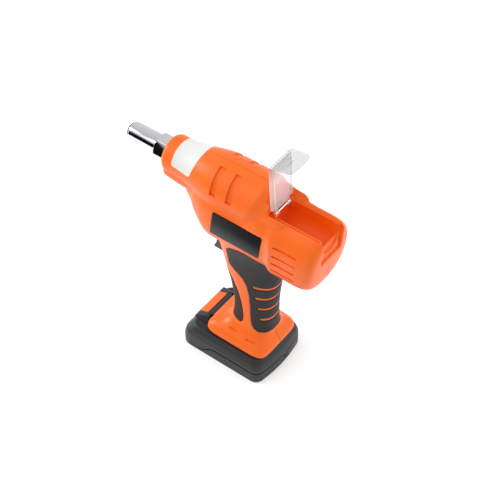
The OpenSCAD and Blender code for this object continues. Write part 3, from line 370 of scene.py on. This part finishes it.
def clearPlastic(name, body, tongue):
    material, nodes, links, shader = startMaterial(name)
    grain = placeGroup(nodes, mouldedGrain, grain=300.0, cloud=60.0)
    rangeOf(nodes, links, grain.outputs["Cloud"], 0.1, 0.2, shader.inputs["Roughness"])
    addBump(nodes, links, grain.outputs["Height"], shader, 0.1, 0.01)
    rim = nodes.new("ShaderNodeLayerWeight")  # the near-white plastic turns more opaque along its edges and at grazing angles: a painted white edge highlight
    rim.inputs["Blend"].default_value = 0.3
    whiteEdgeMask = nodes.new("ShaderNodeMath")
    whiteEdgeMask.operation = "MAXIMUM"
    rangeOf(nodes, links, rim.outputs["Facing"], 0.2, 0.85, whiteEdgeMask.inputs[0], 0.15, 0.8)
    rangeOf(nodes, links, grain.outputs["Edge"], 0.0, 0.85, whiteEdgeMask.inputs[1], 0.0, 0.6)
    links.new(whiteEdgeMask.outputs[0], shader.inputs["Alpha"])
    toneByHeight(nodes, links, shader, body, tongue, (0.268, 0.29))  # thicker plastic in the tongue
    shader.inputs["IOR"].default_value = 1.49
    return material


def platePaintedReflection(name, low, high):
    material, nodes, links, shader = startMaterial(name)
    # lighter low on the plate and darker high: a painted reflection of the floor
    toneByHeight(nodes, links, shader, low, high, (0.186, 0.2))
    grain = placeGroup(nodes, mouldedGrain, grain=1600.0)
    rangeOf(nodes, links, grain.outputs["Cloud"], 0.2, 0.28, shader.inputs["Roughness"])
    addBump(nodes, links, grain.outputs["Height"], shader, 0.2, 0.006)
    shader.inputs["Specular IOR Level"].default_value = 0.06
    return material


# colour, darker share, roughness, grain scale and depth, painted highlight along sharp edges, specular
orangeShell = plastic("orangeShell", (0.93, 0.148, 0.011), 0.95, (0.3, 0.38), 1100.0, 0.02, 0.25, 0.26)
orangeTray = plastic("orangeTray", (0.93, 0.13, 0.006), 0.96, (0.34, 0.42), 900.0, 0.015, 0.25, 0.25)
orangeButton = plastic("orangeButton", (0.92, 0.148, 0.011), 0.93, (0.36, 0.44), 700.0, 0.03, 0.25, 0.26)
gripRubber = plastic("gripRubber", (0.011, 0.011, 0.012), 0.75, (0.5, 0.62), 1400.0, 0.05, 0.05, 0.35)
packPlastic = plastic("packPlastic", (0.02, 0.02, 0.021), 0.8, (0.4, 0.5), 1000.0, 0.05, 0.06, 0.4)
triggerPlastic = plastic("triggerPlastic", (0.03, 0.03, 0.032), 0.8, (0.4, 0.5), 900.0, 0.03, 0.08)
labelPaper = plastic("labelPaper", (0.72, 0.72, 0.71), 0.97, (0.38, 0.48), 1800.0, 0.008, 0.0, 0.3)
boardGreen = plastic("boardGreen", (0.02, 0.14, 0.05), 0.7, (0.35, 0.5), 500.0, 0.03, 0.1)
cellWrap = plastic("cellWrap", (0.05, 0.2, 0.42), 0.85, (0.25, 0.35), 400.0, 0.01, 0.1)
switchNylon = plastic("switchNylon", (0.03, 0.035, 0.045), 0.8, (0.45, 0.55), 900.0, 0.03, 0.1)
# colour, roughness, depth and scale of the marks
brightChrome = metal("brightChrome", (0.69, 0.7, 0.72), (0.05, 0.11))
darkSteel = metal("darkSteel", (0.12, 0.12, 0.13), (0.3, 0.42), 0.01)
blackSteel = metal("blackSteel", (0.025, 0.025, 0.027), (0.35, 0.45), 0.01)
plainSteel = metal("plainSteel", (0.55, 0.56, 0.58), (0.25, 0.38), 0.01)
gearBrass = metal("gearBrass", (0.5, 0.38, 0.16), (0.28, 0.4), 0.01)
windingCopper = metal("windingCopper", (0.62, 0.28, 0.13), (0.3, 0.42), 0.02, 0.3)
# colours low and high on the piece: the lighter lower part is a painted reflection of the pale floor
plateReflectionPaint = platePaintedReflection("plateReflectionPaint", (0.05, 0.051, 0.054), (0.003, 0.003, 0.0035))
lidClear = clearPlastic("lidClear", (0.85, 0.86, 0.87), (0.3, 0.305, 0.31))
print("finishes ready")


# housing shells

shellSizes = {
    "bodyMiddle": 200, "bodyCentre": 25.5, "bodyHalf": 79.5, "rowSteps": 5,
    "bodyAround": 112, "handleAround": 96, "barrelAround": 112, "keelAround": 64, "roomAround": 24,
    "blendVoxel": 1.0, "blendRounds": 2, "edgeVoxel": 0.8, "edgeRounds": 2, "seam": 0.25, "wall": 2.6,
    "body": [  # place, rise, drop, half width, roundness above and below, lean
        (-62, 9, 0.4, 9, 2, 2, 0), (-54, 12, 3.2, 14, 2, 2, 0), (-49.5, 15, 8, 16.5, 2, 2, 0),
        (-45, 18, 15.5, 19.2, 2.1, 2.1, 0), (-40, 21, 25.5, 22.8, 2.3, 2.2, 0),
        (-33, 23, 35, 26.2, 2.5, 2.3, 0), (-24, 25, 39, 29.4, 2.8, 2.7, 0),
        (-10, 26, 39, 30.8, 3, 2.8, 0.05), (20, 27, 36, 31, 3, 3, 0.1), (38, 32.5, 36.8, 31, 3.6, 3, 0),
        (50, 31.5, 37.4, 30.5, 3.3, 3, 0.05), (56.8, 36.3, 39.2, 33.9, 2.2, 3, 0.05),
        (62, 38.4, 40, 33.7, 1.95, 3, 0.09), (70, 40, 40.5, 33.2, 1.8, 3, 0.12),
        (87, 40, 40.5, 33.2, 1.8, 3, 0.048), (97, 39.4, 39.5, 32.2, 1.8, 2.8, 0.084),
        (101.8, 38, 37, 29.8, 1.8, 2.6, 0.102), (103.9, 35, 32, 25.5, 1.9, 2.4, 0.114),
        (104.7, 29, 25, 18.5, 1.9, 2.2, 0.12)],
    "handle": [  # height, middle, half depth, half width, roundness
        (31.2, 12.7, 37.3, 31.5, 7), (37.2, 12.7, 37.3, 31.5, 7), (41.7, 13.1, 34.7, 28.7, 5.5),
        (47.2, 16.6, 27.8, 23.5, 3.6), (53.7, 19.8, 24.5, 19.5, 2.8), (62.2, 20.3, 23.7, 17.7, 2.4),
        (78.2, 20.5, 23.5, 17.5, 2.3), (95.2, 19.5, 25, 18, 2.3), (110.2, 18.8, 27.3, 18.5, 2.3),
        (125.2, 17, 30.7, 19.1, 2.3), (140.2, 15.5, 32.8, 20, 2.3), (156.2, 15, 36, 22, 2.4),
        (174.2, 17, 43.5, 25.5, 2.5)],
    "barrelFront": [(-82, 15.6, 0), (-80.9, 18, 0), (-78.2, 19.5, 0)],  # place, radius, lean
    "barrelRear": [(27, 28.5, 0.34), (37, 25, 0.272), (45, 24.5, 0.136), (58.5, 23.9, 0.05),
                   (64, 22, 0), (66.5, 16.5, 0)],
    "cone": (-66, 54, 19.6, 28.5),  # start, length, radius at each end
    "keel": [  # place, half width, half height
        (-82, 13.5, 7), (-80.9, 16, 8.8), (-78.2, 17.3, 10.2), (-63, 17.4, 14.4), (-46, 17, 16)],
    "keelMiddle": 214, "keelRound": 2.4,
}
gripZones = {
    "side": [(-1, 172), (-1.6, 139.2), (1, 135.7), (10, 131.2), (19, 124.2), (23, 111.2), (24.6, 98.2),
             (25, 75.2), (26, 62.2), (29.5, 56.7), (36, 54.2), (90, 54.2), (90, 172)],
    "front": [(-80, 124.2), (-9, 124.2), (-2.5, 120.2), (4.5, 111.2), (11.5, 96.2), (15.5, 74.2),
              (15.8, 61.2), (14.2, 57.4), (10.5, 56.2), (-80, 58.2)],
    "depth": 1.6, "proud": 0.35, "roof": 0.8, "fit": 0.1, "ribFit": 0.15,
    "slots": 4, "slotPitch": 16, "slotTop": 120.3, "slotHeight": 3.2, "slotStart": (28, 2.3),
}
housingCuts = {
    "outside": 60,  # every side cutter ends out here
    "mouth": [(36, 263), (45, 232), (45, 204.9), (99.1, 204.9), (99.1, 199.9), (140, 199.9), (140, 263)],
    "mouthSpan": (-16.5, 15.45),
    "mouthBevel": [(-16.5, 230.5), (16, 230.5), (32, 246.5), (32, 280), (-32.5, 280), (-32.5, 246.5)],
    "bevelSpan": (46, 112.5),
    "plateFlat": [(-9.85, 213.5), (48.65, 213.5), (44.25, 182.5), (-14.25, 182.5)], "flatAt": 30.2,
    "noseMouth": (-84, -77, 14.46),  # front, rear, radius
    "triggerSlot": ((-40, -7.2, 133.0), (-6, 7.2, 158.4)),
    "railChannels": [((-26, -16.4, 20), (39, 16.4, 40.3)), ((-26, -20.4, 34), (39, 20.4, 40.3)),
                     ((38, -16.4, 20), (45.3, 16.4, 40.3))],
    "flutes": (-15, 3.5), "fluteWidth": 7, "fluteRadius": 26.2, "fluteLift": 0.8, "fluteSweep": (20, 85, 4),
    "fluteOuter": 45,
    "ventFloors": (29.8, 31.6, 31.5, 30.4), "ventFirst": (62.5, 211), "ventStep": (0.6, 10.1),
    "ventEnds": (-1, 25), "ventHeight": 2.6,
    "footSlots": [(3, 13, 19.5, 46.2), (25, 36, 16.4, 44.4)],  # start, end, floor, height
    "footSlotHeight": 1.7, "footSlotOuter": 40,
    "roomFront": [(-78, onAxis), (-78, 17)], "roomRear": [(22, 25.9), (32.5, 23.5), (32.5, onAxis)],
    "railSolid": ((46, -40, 206), (120, 40, 260)), "handleFloor": 42.9,
    "screwWay": (30, 46, 8.4),  # front, rear, radius
    "screwHoles": [(-31, 188), (-19, 167), (20.5, 100.2), (20.5, 65.2)], "screwRadius": 3.3, "screwFrom": 8,
}


def bodyRings(inset, around, k):
    middle, half = shellSizes["bodyCentre"], shellSizes["bodyHalf"]
    rings = []
    for x, rise, drop, wide, above, below, lean in blendRows(shellSizes["body"], k):
        ring = []
        for t in fullTurn(around):
            c, s = math.cos(t), math.sin(t)
            p, h = (above, rise) if s > 0 else (below, drop)
            dz = max(h - inset, 0.4) * signedPower(s, p)
            ring.append((middle + (x - middle) * (1 - inset / half) + lean * dz,
                         max(wide - inset, 0.4) * signedPower(c, p), shellSizes["bodyMiddle"] + dz))
        rings.append(ring)
    return rings


def handleRings(inset, around, k, floor=0.0):
    rings = []
    for z, middle, deep, wide, p in blendRows(shellSizes["handle"], k):
        if z >= floor:
            rings.append([(middle + (deep - inset) * signedPower(math.cos(t), p),
                           (wide - inset) * signedPower(math.sin(t), p), z) for t in fullTurn(around)])
    return rings


def noseRadius(x):
    start, length, front, rear = shellSizes["cone"]
    t = min(max((x - start) / length, 0), 1)
    return front + (rear - front) * t * t * (3 - 2 * t)


def coneRows(count):
    start, length = shellSizes["cone"][:2]
    places = [start + length * i / count for i in range(count + 1)]
    return [(x, noseRadius(x)) for x in places]


def barrelRings(around):
    cone = [(x, r, 0) for x, r in coneRows(24)]
    rings = []
    for x, r, lean in shellSizes["barrelFront"] + cone + shellSizes["barrelRear"]:
        rings.append([(x + lean * r * math.sin(t), r * math.cos(t), axisHeight + r * math.sin(t))
                      for t in fullTurn(around)])
    return rings


def keelRings(around):
    middle, p = shellSizes["keelMiddle"], shellSizes["keelRound"]
    rings = []
    for x, wide, half in shellSizes["keel"]:
        rings.append([(x, wide * signedPower(math.cos(t), p), middle + half * signedPower(math.sin(t), p))
                      for t in fullTurn(around)])
    return rings


def gripSkin(name, inset):
    return skinThrough(name, handleRings(inset, shellSizes["handleAround"], shellSizes["rowSteps"]))


def gripSlot(i, name, shrink=0.0):
    outside = housingCuts["outside"]
    start, step = gripZones["slotStart"]
    z = gripZones["slotTop"] - gripZones["slotPitch"] * i
    outline = capsule(start + step * i + shrink, 130, z, gripZones["slotHeight"] - 2 * shrink)
    return outlinePrism(name, outline, -outside, outside)


def gripZone(name):
    outside = housingCuts["outside"]
    side = outlinePrism(name, roundOutline(gripZones["side"], 2), -outside, outside)
    front = outlinePrism(name + "Front", roundOutline(gripZones["front"], 2), -outside, outside)
    cutBy(side, front, "UNION")
    return side


def sideCut(piece, name, outline, side, floor, outer=housingCuts["outside"]):
    cutBy(piece, outlinePrism(name, outline, *sorted((side * floor, side * outer))))


def formHousing():
    s = shellSizes
    lump = skinThrough("housingLump", bodyRings(0, s["bodyAround"], s["rowSteps"]))
    cutBy(lump, gripSkin("handleLump", 0), "UNION")
    cutBy(lump, skinThrough("barrelLump", barrelRings(s["barrelAround"])), "UNION")
    cutBy(lump, skinThrough("keelLump", keelRings(s["keelAround"])), "UNION")
    soften(lump, s["blendVoxel"], s["blendRounds"])  # runs the forms into each other
    print("housing form blended")
    return lump


def cutOpenings(lump):
    c = housingCuts
    cutBy(lump, outlinePrism("mouth", c["mouth"], *c["mouthSpan"]))
    cutBy(lump, outlinePrism("mouthBevel", c["mouthBevel"], *c["bevelSpan"], "x"))
    for side in (-1, 1):
        sideCut(lump, "plateFlat", c["plateFlat"], side, c["flatAt"])
    pocket = gripZone("gripPocket")
    cutBy(pocket, gripSkin("gripRoof", -gripZones["roof"]), "INTERSECT")
    cutBy(pocket, gripSkin("gripFloor", gripZones["depth"]))
    for i in range(gripZones["slots"]):
        cutBy(pocket, gripSlot(i, "gripRib", gripZones["ribFit"]))  # leaves orange ribs standing in the slots
    cutBy(lump, pocket)
    cutBy(lump, roundBar("noseMouth", *c["noseMouth"]))
    cutBy(lump, boxBlock("triggerSlot", *c["triggerSlot"]))
    for low, high in c["railChannels"]:
        cutBy(lump, boxBlock("railChannel", low, high))
    soften(lump, shellSizes["edgeVoxel"], shellSizes["edgeRounds"])  # rounds every moulded edge


def cutFlutesAndVents(lump):
    c = housingCuts
    sweep = [math.radians(a) for a in range(*c["fluteSweep"])]
    for side in (-1, 1):
        for x in c["flutes"]:
            r, base = c["fluteRadius"], axisHeight + c["fluteLift"]
            inner = [(side * r * math.sin(a), base + r * math.cos(a)) for a in sweep]
            r = c["fluteOuter"]
            outer = [(side * r * math.sin(a), axisHeight + r * math.cos(a)) for a in reversed(sweep)]
            cutBy(lump, outlinePrism("flute", inner + outer, x, x + c["fluteWidth"], "x"))
        for i, floor in enumerate(c["ventFloors"]):
            x, z = c["ventFirst"][0] - c["ventStep"][0] * i, c["ventFirst"][1] - c["ventStep"][1] * i
            vent = capsule(x + c["ventEnds"][0], x + c["ventEnds"][1], z, c["ventHeight"])
            sideCut(lump, "vent", vent, side, floor)
        for x0, x1, floor, z in c["footSlots"]:  # short slots over the foot
            slot = capsule(x0, x1, z, c["footSlotHeight"])
            sideCut(lump, "footSlot", slot, side, floor, c["footSlotOuter"])
    print("housing cut", len(lump.data.polygons))


def hollowOut(lump):
    c, wall, around = housingCuts, shellSizes["wall"], shellSizes["roomAround"]
    room = c["roomFront"] + [(x, r - wall) for x, r in coneRows(8)] + c["roomRear"]
    cutBy(lump, turnedPiece("barrelRoom", room, 48))
    bodyRoom = skinThrough("bodyRoom", bodyRings(wall, around, 1))
    cutBy(bodyRoom, boxBlock("railSolid", *c["railSolid"]))  # the rails beside the tray stay solid
    cutBy(lump, bodyRoom)
    handleRoom = handleRings(wall + gripZones["depth"], around, 1, c["handleFloor"])
    cutBy(lump, skinThrough("handleRoom", handleRoom))
    cutBy(lump, roundBar("screwWay", *c["screwWay"], 48))


def makeHousing():
    lump = formHousing()
    cutOpenings(lump)
    cutFlutesAndVents(lump)
    hollowOut(lump)
    lump.name = "shellLeft"
    right = splitAtSeam(lump, "shellRight", shellSizes["seam"])
    r = housingCuts["screwRadius"]
    for x, z in housingCuts["screwHoles"]:
        hole = [(r * math.cos(t) + x, r * math.sin(t) + z) for t in fullTurn(32)]
        sideCut(right, "screwHole", hole, 1, housingCuts["screwFrom"])
    finishPiece(lump, "tool", orangeShell, ("housing_left",), 50)
    finishPiece(right, "tool", orangeShell, ("housing_right",), 50)


makeHousing()


# rubber grip pads

def makeGrips():
    pads = gripSkin("gripLeft", -gripZones["proud"])
    cutBy(pads, gripSkin("gripInside", gripZones["depth"] - gripZones["fit"]))
    cutBy(pads, gripZone("gripOutline"), "INTERSECT")
    for i in range(gripZones["slots"]):
        cutBy(pads, gripSlot(i, "gripSlot"))
    soften(pads, 0.6, 2, 0.7)
    right = splitAtSeam(pads, "gripRight", gripZones["fit"])
    finishPiece(pads, "tool", gripRubber, ("grip_left",), 50)
    finishPiece(right, "tool", gripRubber, ("grip_right",), 50)


makeGrips()


# moulded pieces that keep the CAD form and get soft edges

softPieces = {  # node, body, slot, finish, voxel, smoothing rounds, share of faces kept
    "trayInsert": ("mandrel_tray", "tool", "tray", orangeTray, 0.5, 2, 0.7),
    "triggerBlade": ("trigger", "trigger", "trigger", triggerPlastic, 0.4, 4, 0.6),
    "packBase": ("pack_lower", "pack", "case", packPlastic, 0.6, 3, 0.7),
    "packTop": ("pack_upper", "pack", "case", packPlastic, 0.7, 3, 0.7),
    "releaseKey": ("release_button", "button", "button", orangeButton, 0.35, 5, 0.6),
}
travelRooms = {  # what moves into a piece, and how far
    "triggerBlade": ("trigger_switch", (-6.0, 0, 0)),
    "packTop": ("release_button", (0, 0, -2.2)),
    "gap": 0.3, "steps": 5,
}


def leaveRoom(piece, node, travel):
    room = copyNode(node, "travelRoom")
    soften(room, 0.4, 1)
    applyModifier(room, "DISPLACE", strength=travelRooms["gap"] * mm, mid_level=0)
    for i in range(travelRooms["steps"]):
        step = copyOf(room, "travelStep")
        for vertex in step.data.vertices:
            vertex.co += Vector(travel) * mm * (i + 1) / travelRooms["steps"]
        cutBy(piece, step)
    bpy.data.objects.remove(room)


for pieceName, (node, body, slot, material, voxel, rounds, thinTo) in softPieces.items():
    piece = copyNode(node, pieceName)
    soften(piece, voxel, rounds, thinTo)
    if pieceName in travelRooms:
        leaveRoom(piece, *travelRooms[pieceName])
    finishPiece(piece, body, material, (node,), 50)


# coil springs copied from the CAD springs

coils = {  # node, body, joint, axis, fixed end, share of the length kept
    "triggerCoil": ("trigger_spring", "tool", "trigger_pull", (1, 0, 0), (-6.6, 0, 145.7), 0.03),
    "buttonCoil": ("button_spring", "pack", "button_press", (0, 0, 1), (-35.6, 0, 29.2), 0.07),
}
for pieceName, (node, body, joint, axis, anchor, keep) in coils.items():
    piece = copyNode(node, pieceName)
    finishPiece(piece, body, plainSteel, (node,), 40)
    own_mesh(piece)


# clear lid with its raised tongue

lidSizes = {
    "tongue": [(48, -15.6), (65.5, -15.6), (69, -12), (69, 12), (65.5, 15.6), (48, 15.6)],
    "low": 292.95, "thick": 1.97, "fall": 0.0525, "fallFrom": 53, "voxel": 0.35,
    "bend": (50, 275), "tipReach": (19, 18), "tuck": 3.2, "raise": 1.5,
}


def makeLid():
    s = lidSizes
    lid = copyNode("lid", "lidShell")
    soften(lid, s["voxel"], 1)
    tongue = outlinePrism("lidTongue", roundOutline(s["tongue"], 2), s["low"], s["low"] + s["thick"], "z")
    for vertex in tongue.data.vertices:
        vertex.co.z -= s["fall"] * (vertex.co.x - s["fallFrom"] * mm)
    cutBy(lid, tongue, "UNION")
    soften(lid, s["voxel"], 1, 0.7)
    (bendX, bendZ), (reachX, reachZ) = s["bend"], s["tipReach"]
    for vertex in lid.data.vertices:  # tips the tongue up about the bend
        x, z = vertex.co.x / mm, vertex.co.z / mm
        if z > bendZ:
            t = min(max((x - bendX) / reachX, 0), 1)
            vertex.co.z += (s["raise"] * t - s["tuck"] * (1 - t)) * min((z - bendZ) / reachZ, 1) * mm
    finishPiece(lid, "lid", lidClear, ("lid",), 50)


makeLid()


# nose: turned pieces and the locknut

noseSizes = {
    "tip": [(-132.5, 1.65), (-132.5, 6.6), (-132.3, 7.6), (-131.7, 8.3), (-131.2, 8.5), (-130.3, 8.5),
            (-130, 8.2), (-130, 6), (-119, 6), (-117, 4), (-117, 1.65)],
    "sleeve": [(-130, 6.05), (-130, 8.9), (-129.8, 9.7), (-129.2, 10.3), (-128.5, 10.6), (-64, 10.6),
               (-64, 8.6), (-126, 8.6), (-126, 6.05)],
    "nut": (-96, -78.5, 13.86, 12.0),  # front, rear, corner radius, half width across the flats
    "nutBore": 10.66, "nutBevel": 0.5,
}


def makeNose():
    tip = turnedPiece("noseTip", noseSizes["tip"], 96)
    finishPiece(tip, "tool", blackSteel, ("nosepiece",), 30)
    sleeve = turnedPiece("noseSleeve", noseSizes["sleeve"], 128)
    finishPiece(sleeve, "tool", brightChrome, ("nose_sleeve",), 30)
    front, rear, corner, flat = noseSizes["nut"]
    turn = [math.radians(60 * i + 30) for i in range(6)]
    hexagon = [(corner * math.sin(a), axisHeight + corner * math.cos(a)) for a in turn]
    nut = outlinePrism("lockNut", hexagon, front, rear, "x")
    applyModifier(nut, "BEVEL", width=noseSizes["nutBevel"] * mm, segments=3, limit_method="ANGLE")
    chamfer = [(front - 0.1, onAxis), (front - 0.1, flat - 0.5), (front + 2.4, corner + 1),
               (rear + 1, corner + 1), (rear + 1, onAxis)]
    cutBy(nut, turnedPiece("nutChamfer", chamfer), "INTERSECT")
    cutBy(nut, roundBar("nutBore", front - 2, rear + 3, noseSizes["nutBore"]))
    finishPiece(nut, "tool", brightChrome, ("locknut",), 30)


makeNose()


# blank label and flank plate

labelSizes = {"x": (-67.5, -41.8), "near": 169, "far": 30, "sway": 2.6, "proud": 0.12, "lift": 0.02,
              "corner": (0.288, 0.108), "grid": (24, 80)}


def makeLabel():
    s = labelSizes
    deselectAll()
    bpy.ops.mesh.primitive_grid_add(x_subdivisions=s["grid"][0], y_subdivisions=s["grid"][1], size=2)
    label = bpy.context.object
    label.name = "noseLabel"
    cu, cv = 1 - s["corner"][0], 1 - s["corner"][1]
    for vertex in label.data.vertices:
        u, v = vertex.co.x, vertex.co.y
        du, dv = max(abs(u) - cu, 0) / (1 - cu), max(abs(v) - cv, 0) / (1 - cv)
        if du > 0 and dv > 0:  # rounds the corners of the label
            u = math.copysign(cu + (1 - cu) * du * math.sqrt(1 - dv * dv / 2), u)
            v = math.copysign(cv + (1 - cv) * dv * math.sqrt(1 - du * du / 2), v)
        t = math.radians(s["far"] + (s["near"] - s["far"]) * (v + 1) / 2)
        rear = s["x"][1] + s["sway"] * (2 * math.sin(t) - 1)  # the strip widens over the top of the cone
        x = s["x"][0] + (rear - s["x"][0]) * (u + 1) / 2
        r = noseRadius(x) + s["lift"]
        vertex.co = Vector((x, r * math.cos(t), axisHeight + r * math.sin(t))) * mm
    makeActive(label)
    bpy.ops.object.mode_set(mode="EDIT")
    faceOutwards()
    face, inside = label.data.polygons[0], Vector((sum(s["x"]) / 2, 0, axisHeight)) * mm
    if face.normal.dot(face.center - inside) < 0:
        label.data.flip_normals()
    applyModifier(label, "SOLIDIFY", thickness=s["proud"] * mm, offset=1)
    finishPiece(label, "tool", labelPaper, (), 30)


plateSizes = {"corners": [(-9.2, 213.0), (48.0, 213.0), (43.7, 183.0), (-13.5, 183.0)],
              "radius": 2.2, "edge": 0.12, "span": (-30.6, -30.1)}


def makePlate():
    s = plateSizes
    plate = outlinePrism("flankPlateLeft", s["corners"], *s["span"])
    makeActive(plate)
    bpy.ops.object.mode_set(mode="EDIT")
    bpy.ops.mesh.select_mode(type="EDGE")
    bpy.ops.mesh.select_all(action="DESELECT")
    bpy.ops.object.mode_set(mode="OBJECT")
    for edge in plate.data.edges:  # the four short edges at the corners
        a, b = (plate.data.vertices[i].co for i in edge.vertices)
        edge.select = abs(a.y - b.y) > 0.1 * mm
    bpy.ops.object.mode_set(mode="EDIT")
    bpy.ops.mesh.bevel(offset=s["radius"] * mm, segments=8, affect="EDGES")
    bpy.ops.object.mode_set(mode="OBJECT")
    applyModifier(plate, "BEVEL", width=s["edge"] * mm, segments=2, limit_method="ANGLE",
                  angle_limit=math.radians(60))
    finishPiece(plate, "tool", plateReflectionPaint, (), 30)


makeLabel()
makePlate()


# finishes of the CAD pieces that stay

nodeFinishes = [
    (darkSteel, "housing_screws nose_frame motor_magnets jaw_case jaw_pusher planet_carrier pack_screws"),
    (plainSteel, "gear_plate_front gear_plate_rear thrust_bearing rear_bearing ring_gear motor_can guide_tube"),
    (plainSteel, "pull_screw jaws jaw_spring"),
    (gearBrass, "nut_gear output_pinion planet_gear_1 planet_gear_2 planet_gear_3 sun_gear"),
    (windingCopper, "motor_rotor pack_contacts"),
    (switchNylon, "motor_cap trigger_switch foot_terminal charge_jack"),
    (boardGreen, "control_board pack_board"),
    (cellWrap, "pack_cells"),
    (brightChrome, "lid_pin"),
]
for material, names in nodeFinishes:
    for node in names.split():
        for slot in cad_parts[node].material_slots:
            slot.material = material
print("CAD pieces finished")


# floor, light and camera

stageSizes = {"floor": 8.0, "drop": 0.0002, "lift": 0.28, "floorColour": 0.86, "world": (0.55, 1.0)}


def makeFloor():
    deselectAll()
    bpy.ops.mesh.primitive_plane_add(size=stageSizes["floor"], location=(0, 0, -stageSizes["drop"]))
    floor = bpy.context.object
    floor.name = "paleFloor"
    material = bpy.data.materials.new("paleFloor")
    material.use_nodes = True
    nodes, links = material.node_tree.nodes, material.node_tree.links
    nodes.clear()
    out = nodes.new("ShaderNodeOutputMaterial")
    matt = nodes.new("ShaderNodeBsdfDiffuse")
    matt.inputs["Color"].default_value = (*[stageSizes["floorColour"]] * 3, 1)
    glow = nodes.new("ShaderNodeEmission")
    path = nodes.new("ShaderNodeLightPath")
    seen = path.outputs["Is Camera Ray"]
    for ray in ("Is Glossy Ray", "Is Transmission Ray"):  # metal and clear plastic see the lifted floor too
        either = nodes.new("ShaderNodeMath")
        either.operation = "MAXIMUM"
        links.new(seen, either.inputs[0])
        links.new(path.outputs[ray], either.inputs[1])
        seen = either.outputs[0]
    lift = nodes.new("ShaderNodeMath")
    lift.operation = "MULTIPLY"
    lift.inputs[1].default_value = stageSizes["lift"]
    both = nodes.new("ShaderNodeAddShader")
    links.new(seen, lift.inputs[0])
    links.new(lift.outputs[0], glow.inputs["Strength"])
    links.new(matt.outputs[0], both.inputs[0])
    links.new(glow.outputs[0], both.inputs[1])
    links.new(both.outputs[0], out.inputs["Surface"])
    floor.data.materials.append(material)


def makeWorld():
    world = bpy.data.worlds.new("whiteTent")
    bpy.context.scene.world = world
    world.use_nodes = True
    nodes, links = world.node_tree.nodes, world.node_tree.links
    sky = nodes["Background"]
    sky.inputs["Color"].default_value = (1, 1, 1, 1)
    aim = nodes.new("ShaderNodeTexCoord")
    axes = nodes.new("ShaderNodeSeparateXYZ")
    links.new(aim.outputs["Generated"], axes.inputs["Vector"])
    rangeOf(nodes, links, axes.outputs["Y"], *stageSizes["world"], sky.inputs["Strength"],
            -1.0, 1.0)  # brighter behind the tool


softBoxes = {  # place, aim, size, watts
    "mainBox": ((-0.6, -0.85, 1.25), (0, 0, 0.2), 1.2, 4.5),
    "leftBox": ((-1.3, -0.35, 0.7), (0, 0, 0.2), 0.5, 10.0),
    "topBox": ((0.1, 0.1, 1.5), (0, 0, 0.2), 1.2, 1.5),
    "rightBox": ((1.3, -0.5, 0.9), (0.05, 0, 0.18), 0.9, 1.3),
    "backBox": ((1.15, 0.85, 0.75), (0.05, 0, 0.2), 0.5, 5.0),
}
flagSizes = {"middle": (-0.42, -0.64, 0.2), "width": 0.8, "height": 0.42, "turn": -25.2, "tone": 0.004}


def makeFlag():
    s = flagSizes
    material, nodes, links, shader = startMaterial("flagCloth")
    shader.inputs["Base Color"].default_value = (*[s["tone"]] * 3, 1)
    shader.inputs["Specular IOR Level"].default_value = 0.0
    deselectAll()
    bpy.ops.mesh.primitive_plane_add(size=1, location=s["middle"],
                                     rotation=(math.pi / 2, 0, math.radians(s["turn"])))
    flag = bpy.context.object
    flag.name = "nearFlag"
    flag.scale = (s["width"], s["height"], 1)
    flag.data.materials.append(material)
    for ray in ("camera", "diffuse", "transmission", "shadow", "volume_scatter"):
        setattr(flag, "visible_" + ray, False)  # only polished faces see it


def makeLights():
    for name, (place, aim, size, watts) in softBoxes.items():
        lamp = bpy.data.lights.new(name, "AREA")
        lamp.shape = "SQUARE"
        lamp.size = size
        lamp.energy = watts
        holder = bpy.data.objects.new(name, lamp)
        bpy.context.scene.collection.objects.link(holder)
        holder.location = place
        holder.rotation_euler = (Vector(aim) - Vector(place)).to_track_quat("-Z", "Y").to_euler()


cameraSizes = {"place": (0.54704, -0.70970, 1.11948), "back": (0.4065, -0.5388, 0.7379), "lens": 97.46}


def makeCamera():
    view = bpy.data.cameras.new("photoView")
    view.lens = cameraSizes["lens"]
    view.sensor_width = 36
    holder = bpy.data.objects.new("photoView", view)
    bpy.context.scene.collection.objects.link(holder)
    holder.location = cameraSizes["place"]
    holder.rotation_euler = (-Vector(cameraSizes["back"])).to_track_quat("-Z", "Y").to_euler()
    bpy.context.scene.camera = holder


makeFloor()
makeWorld()
makeFlag()
makeLights()
makeCamera()
bpy.context.scene.view_settings.view_transform = "Standard"
print("stage ready")
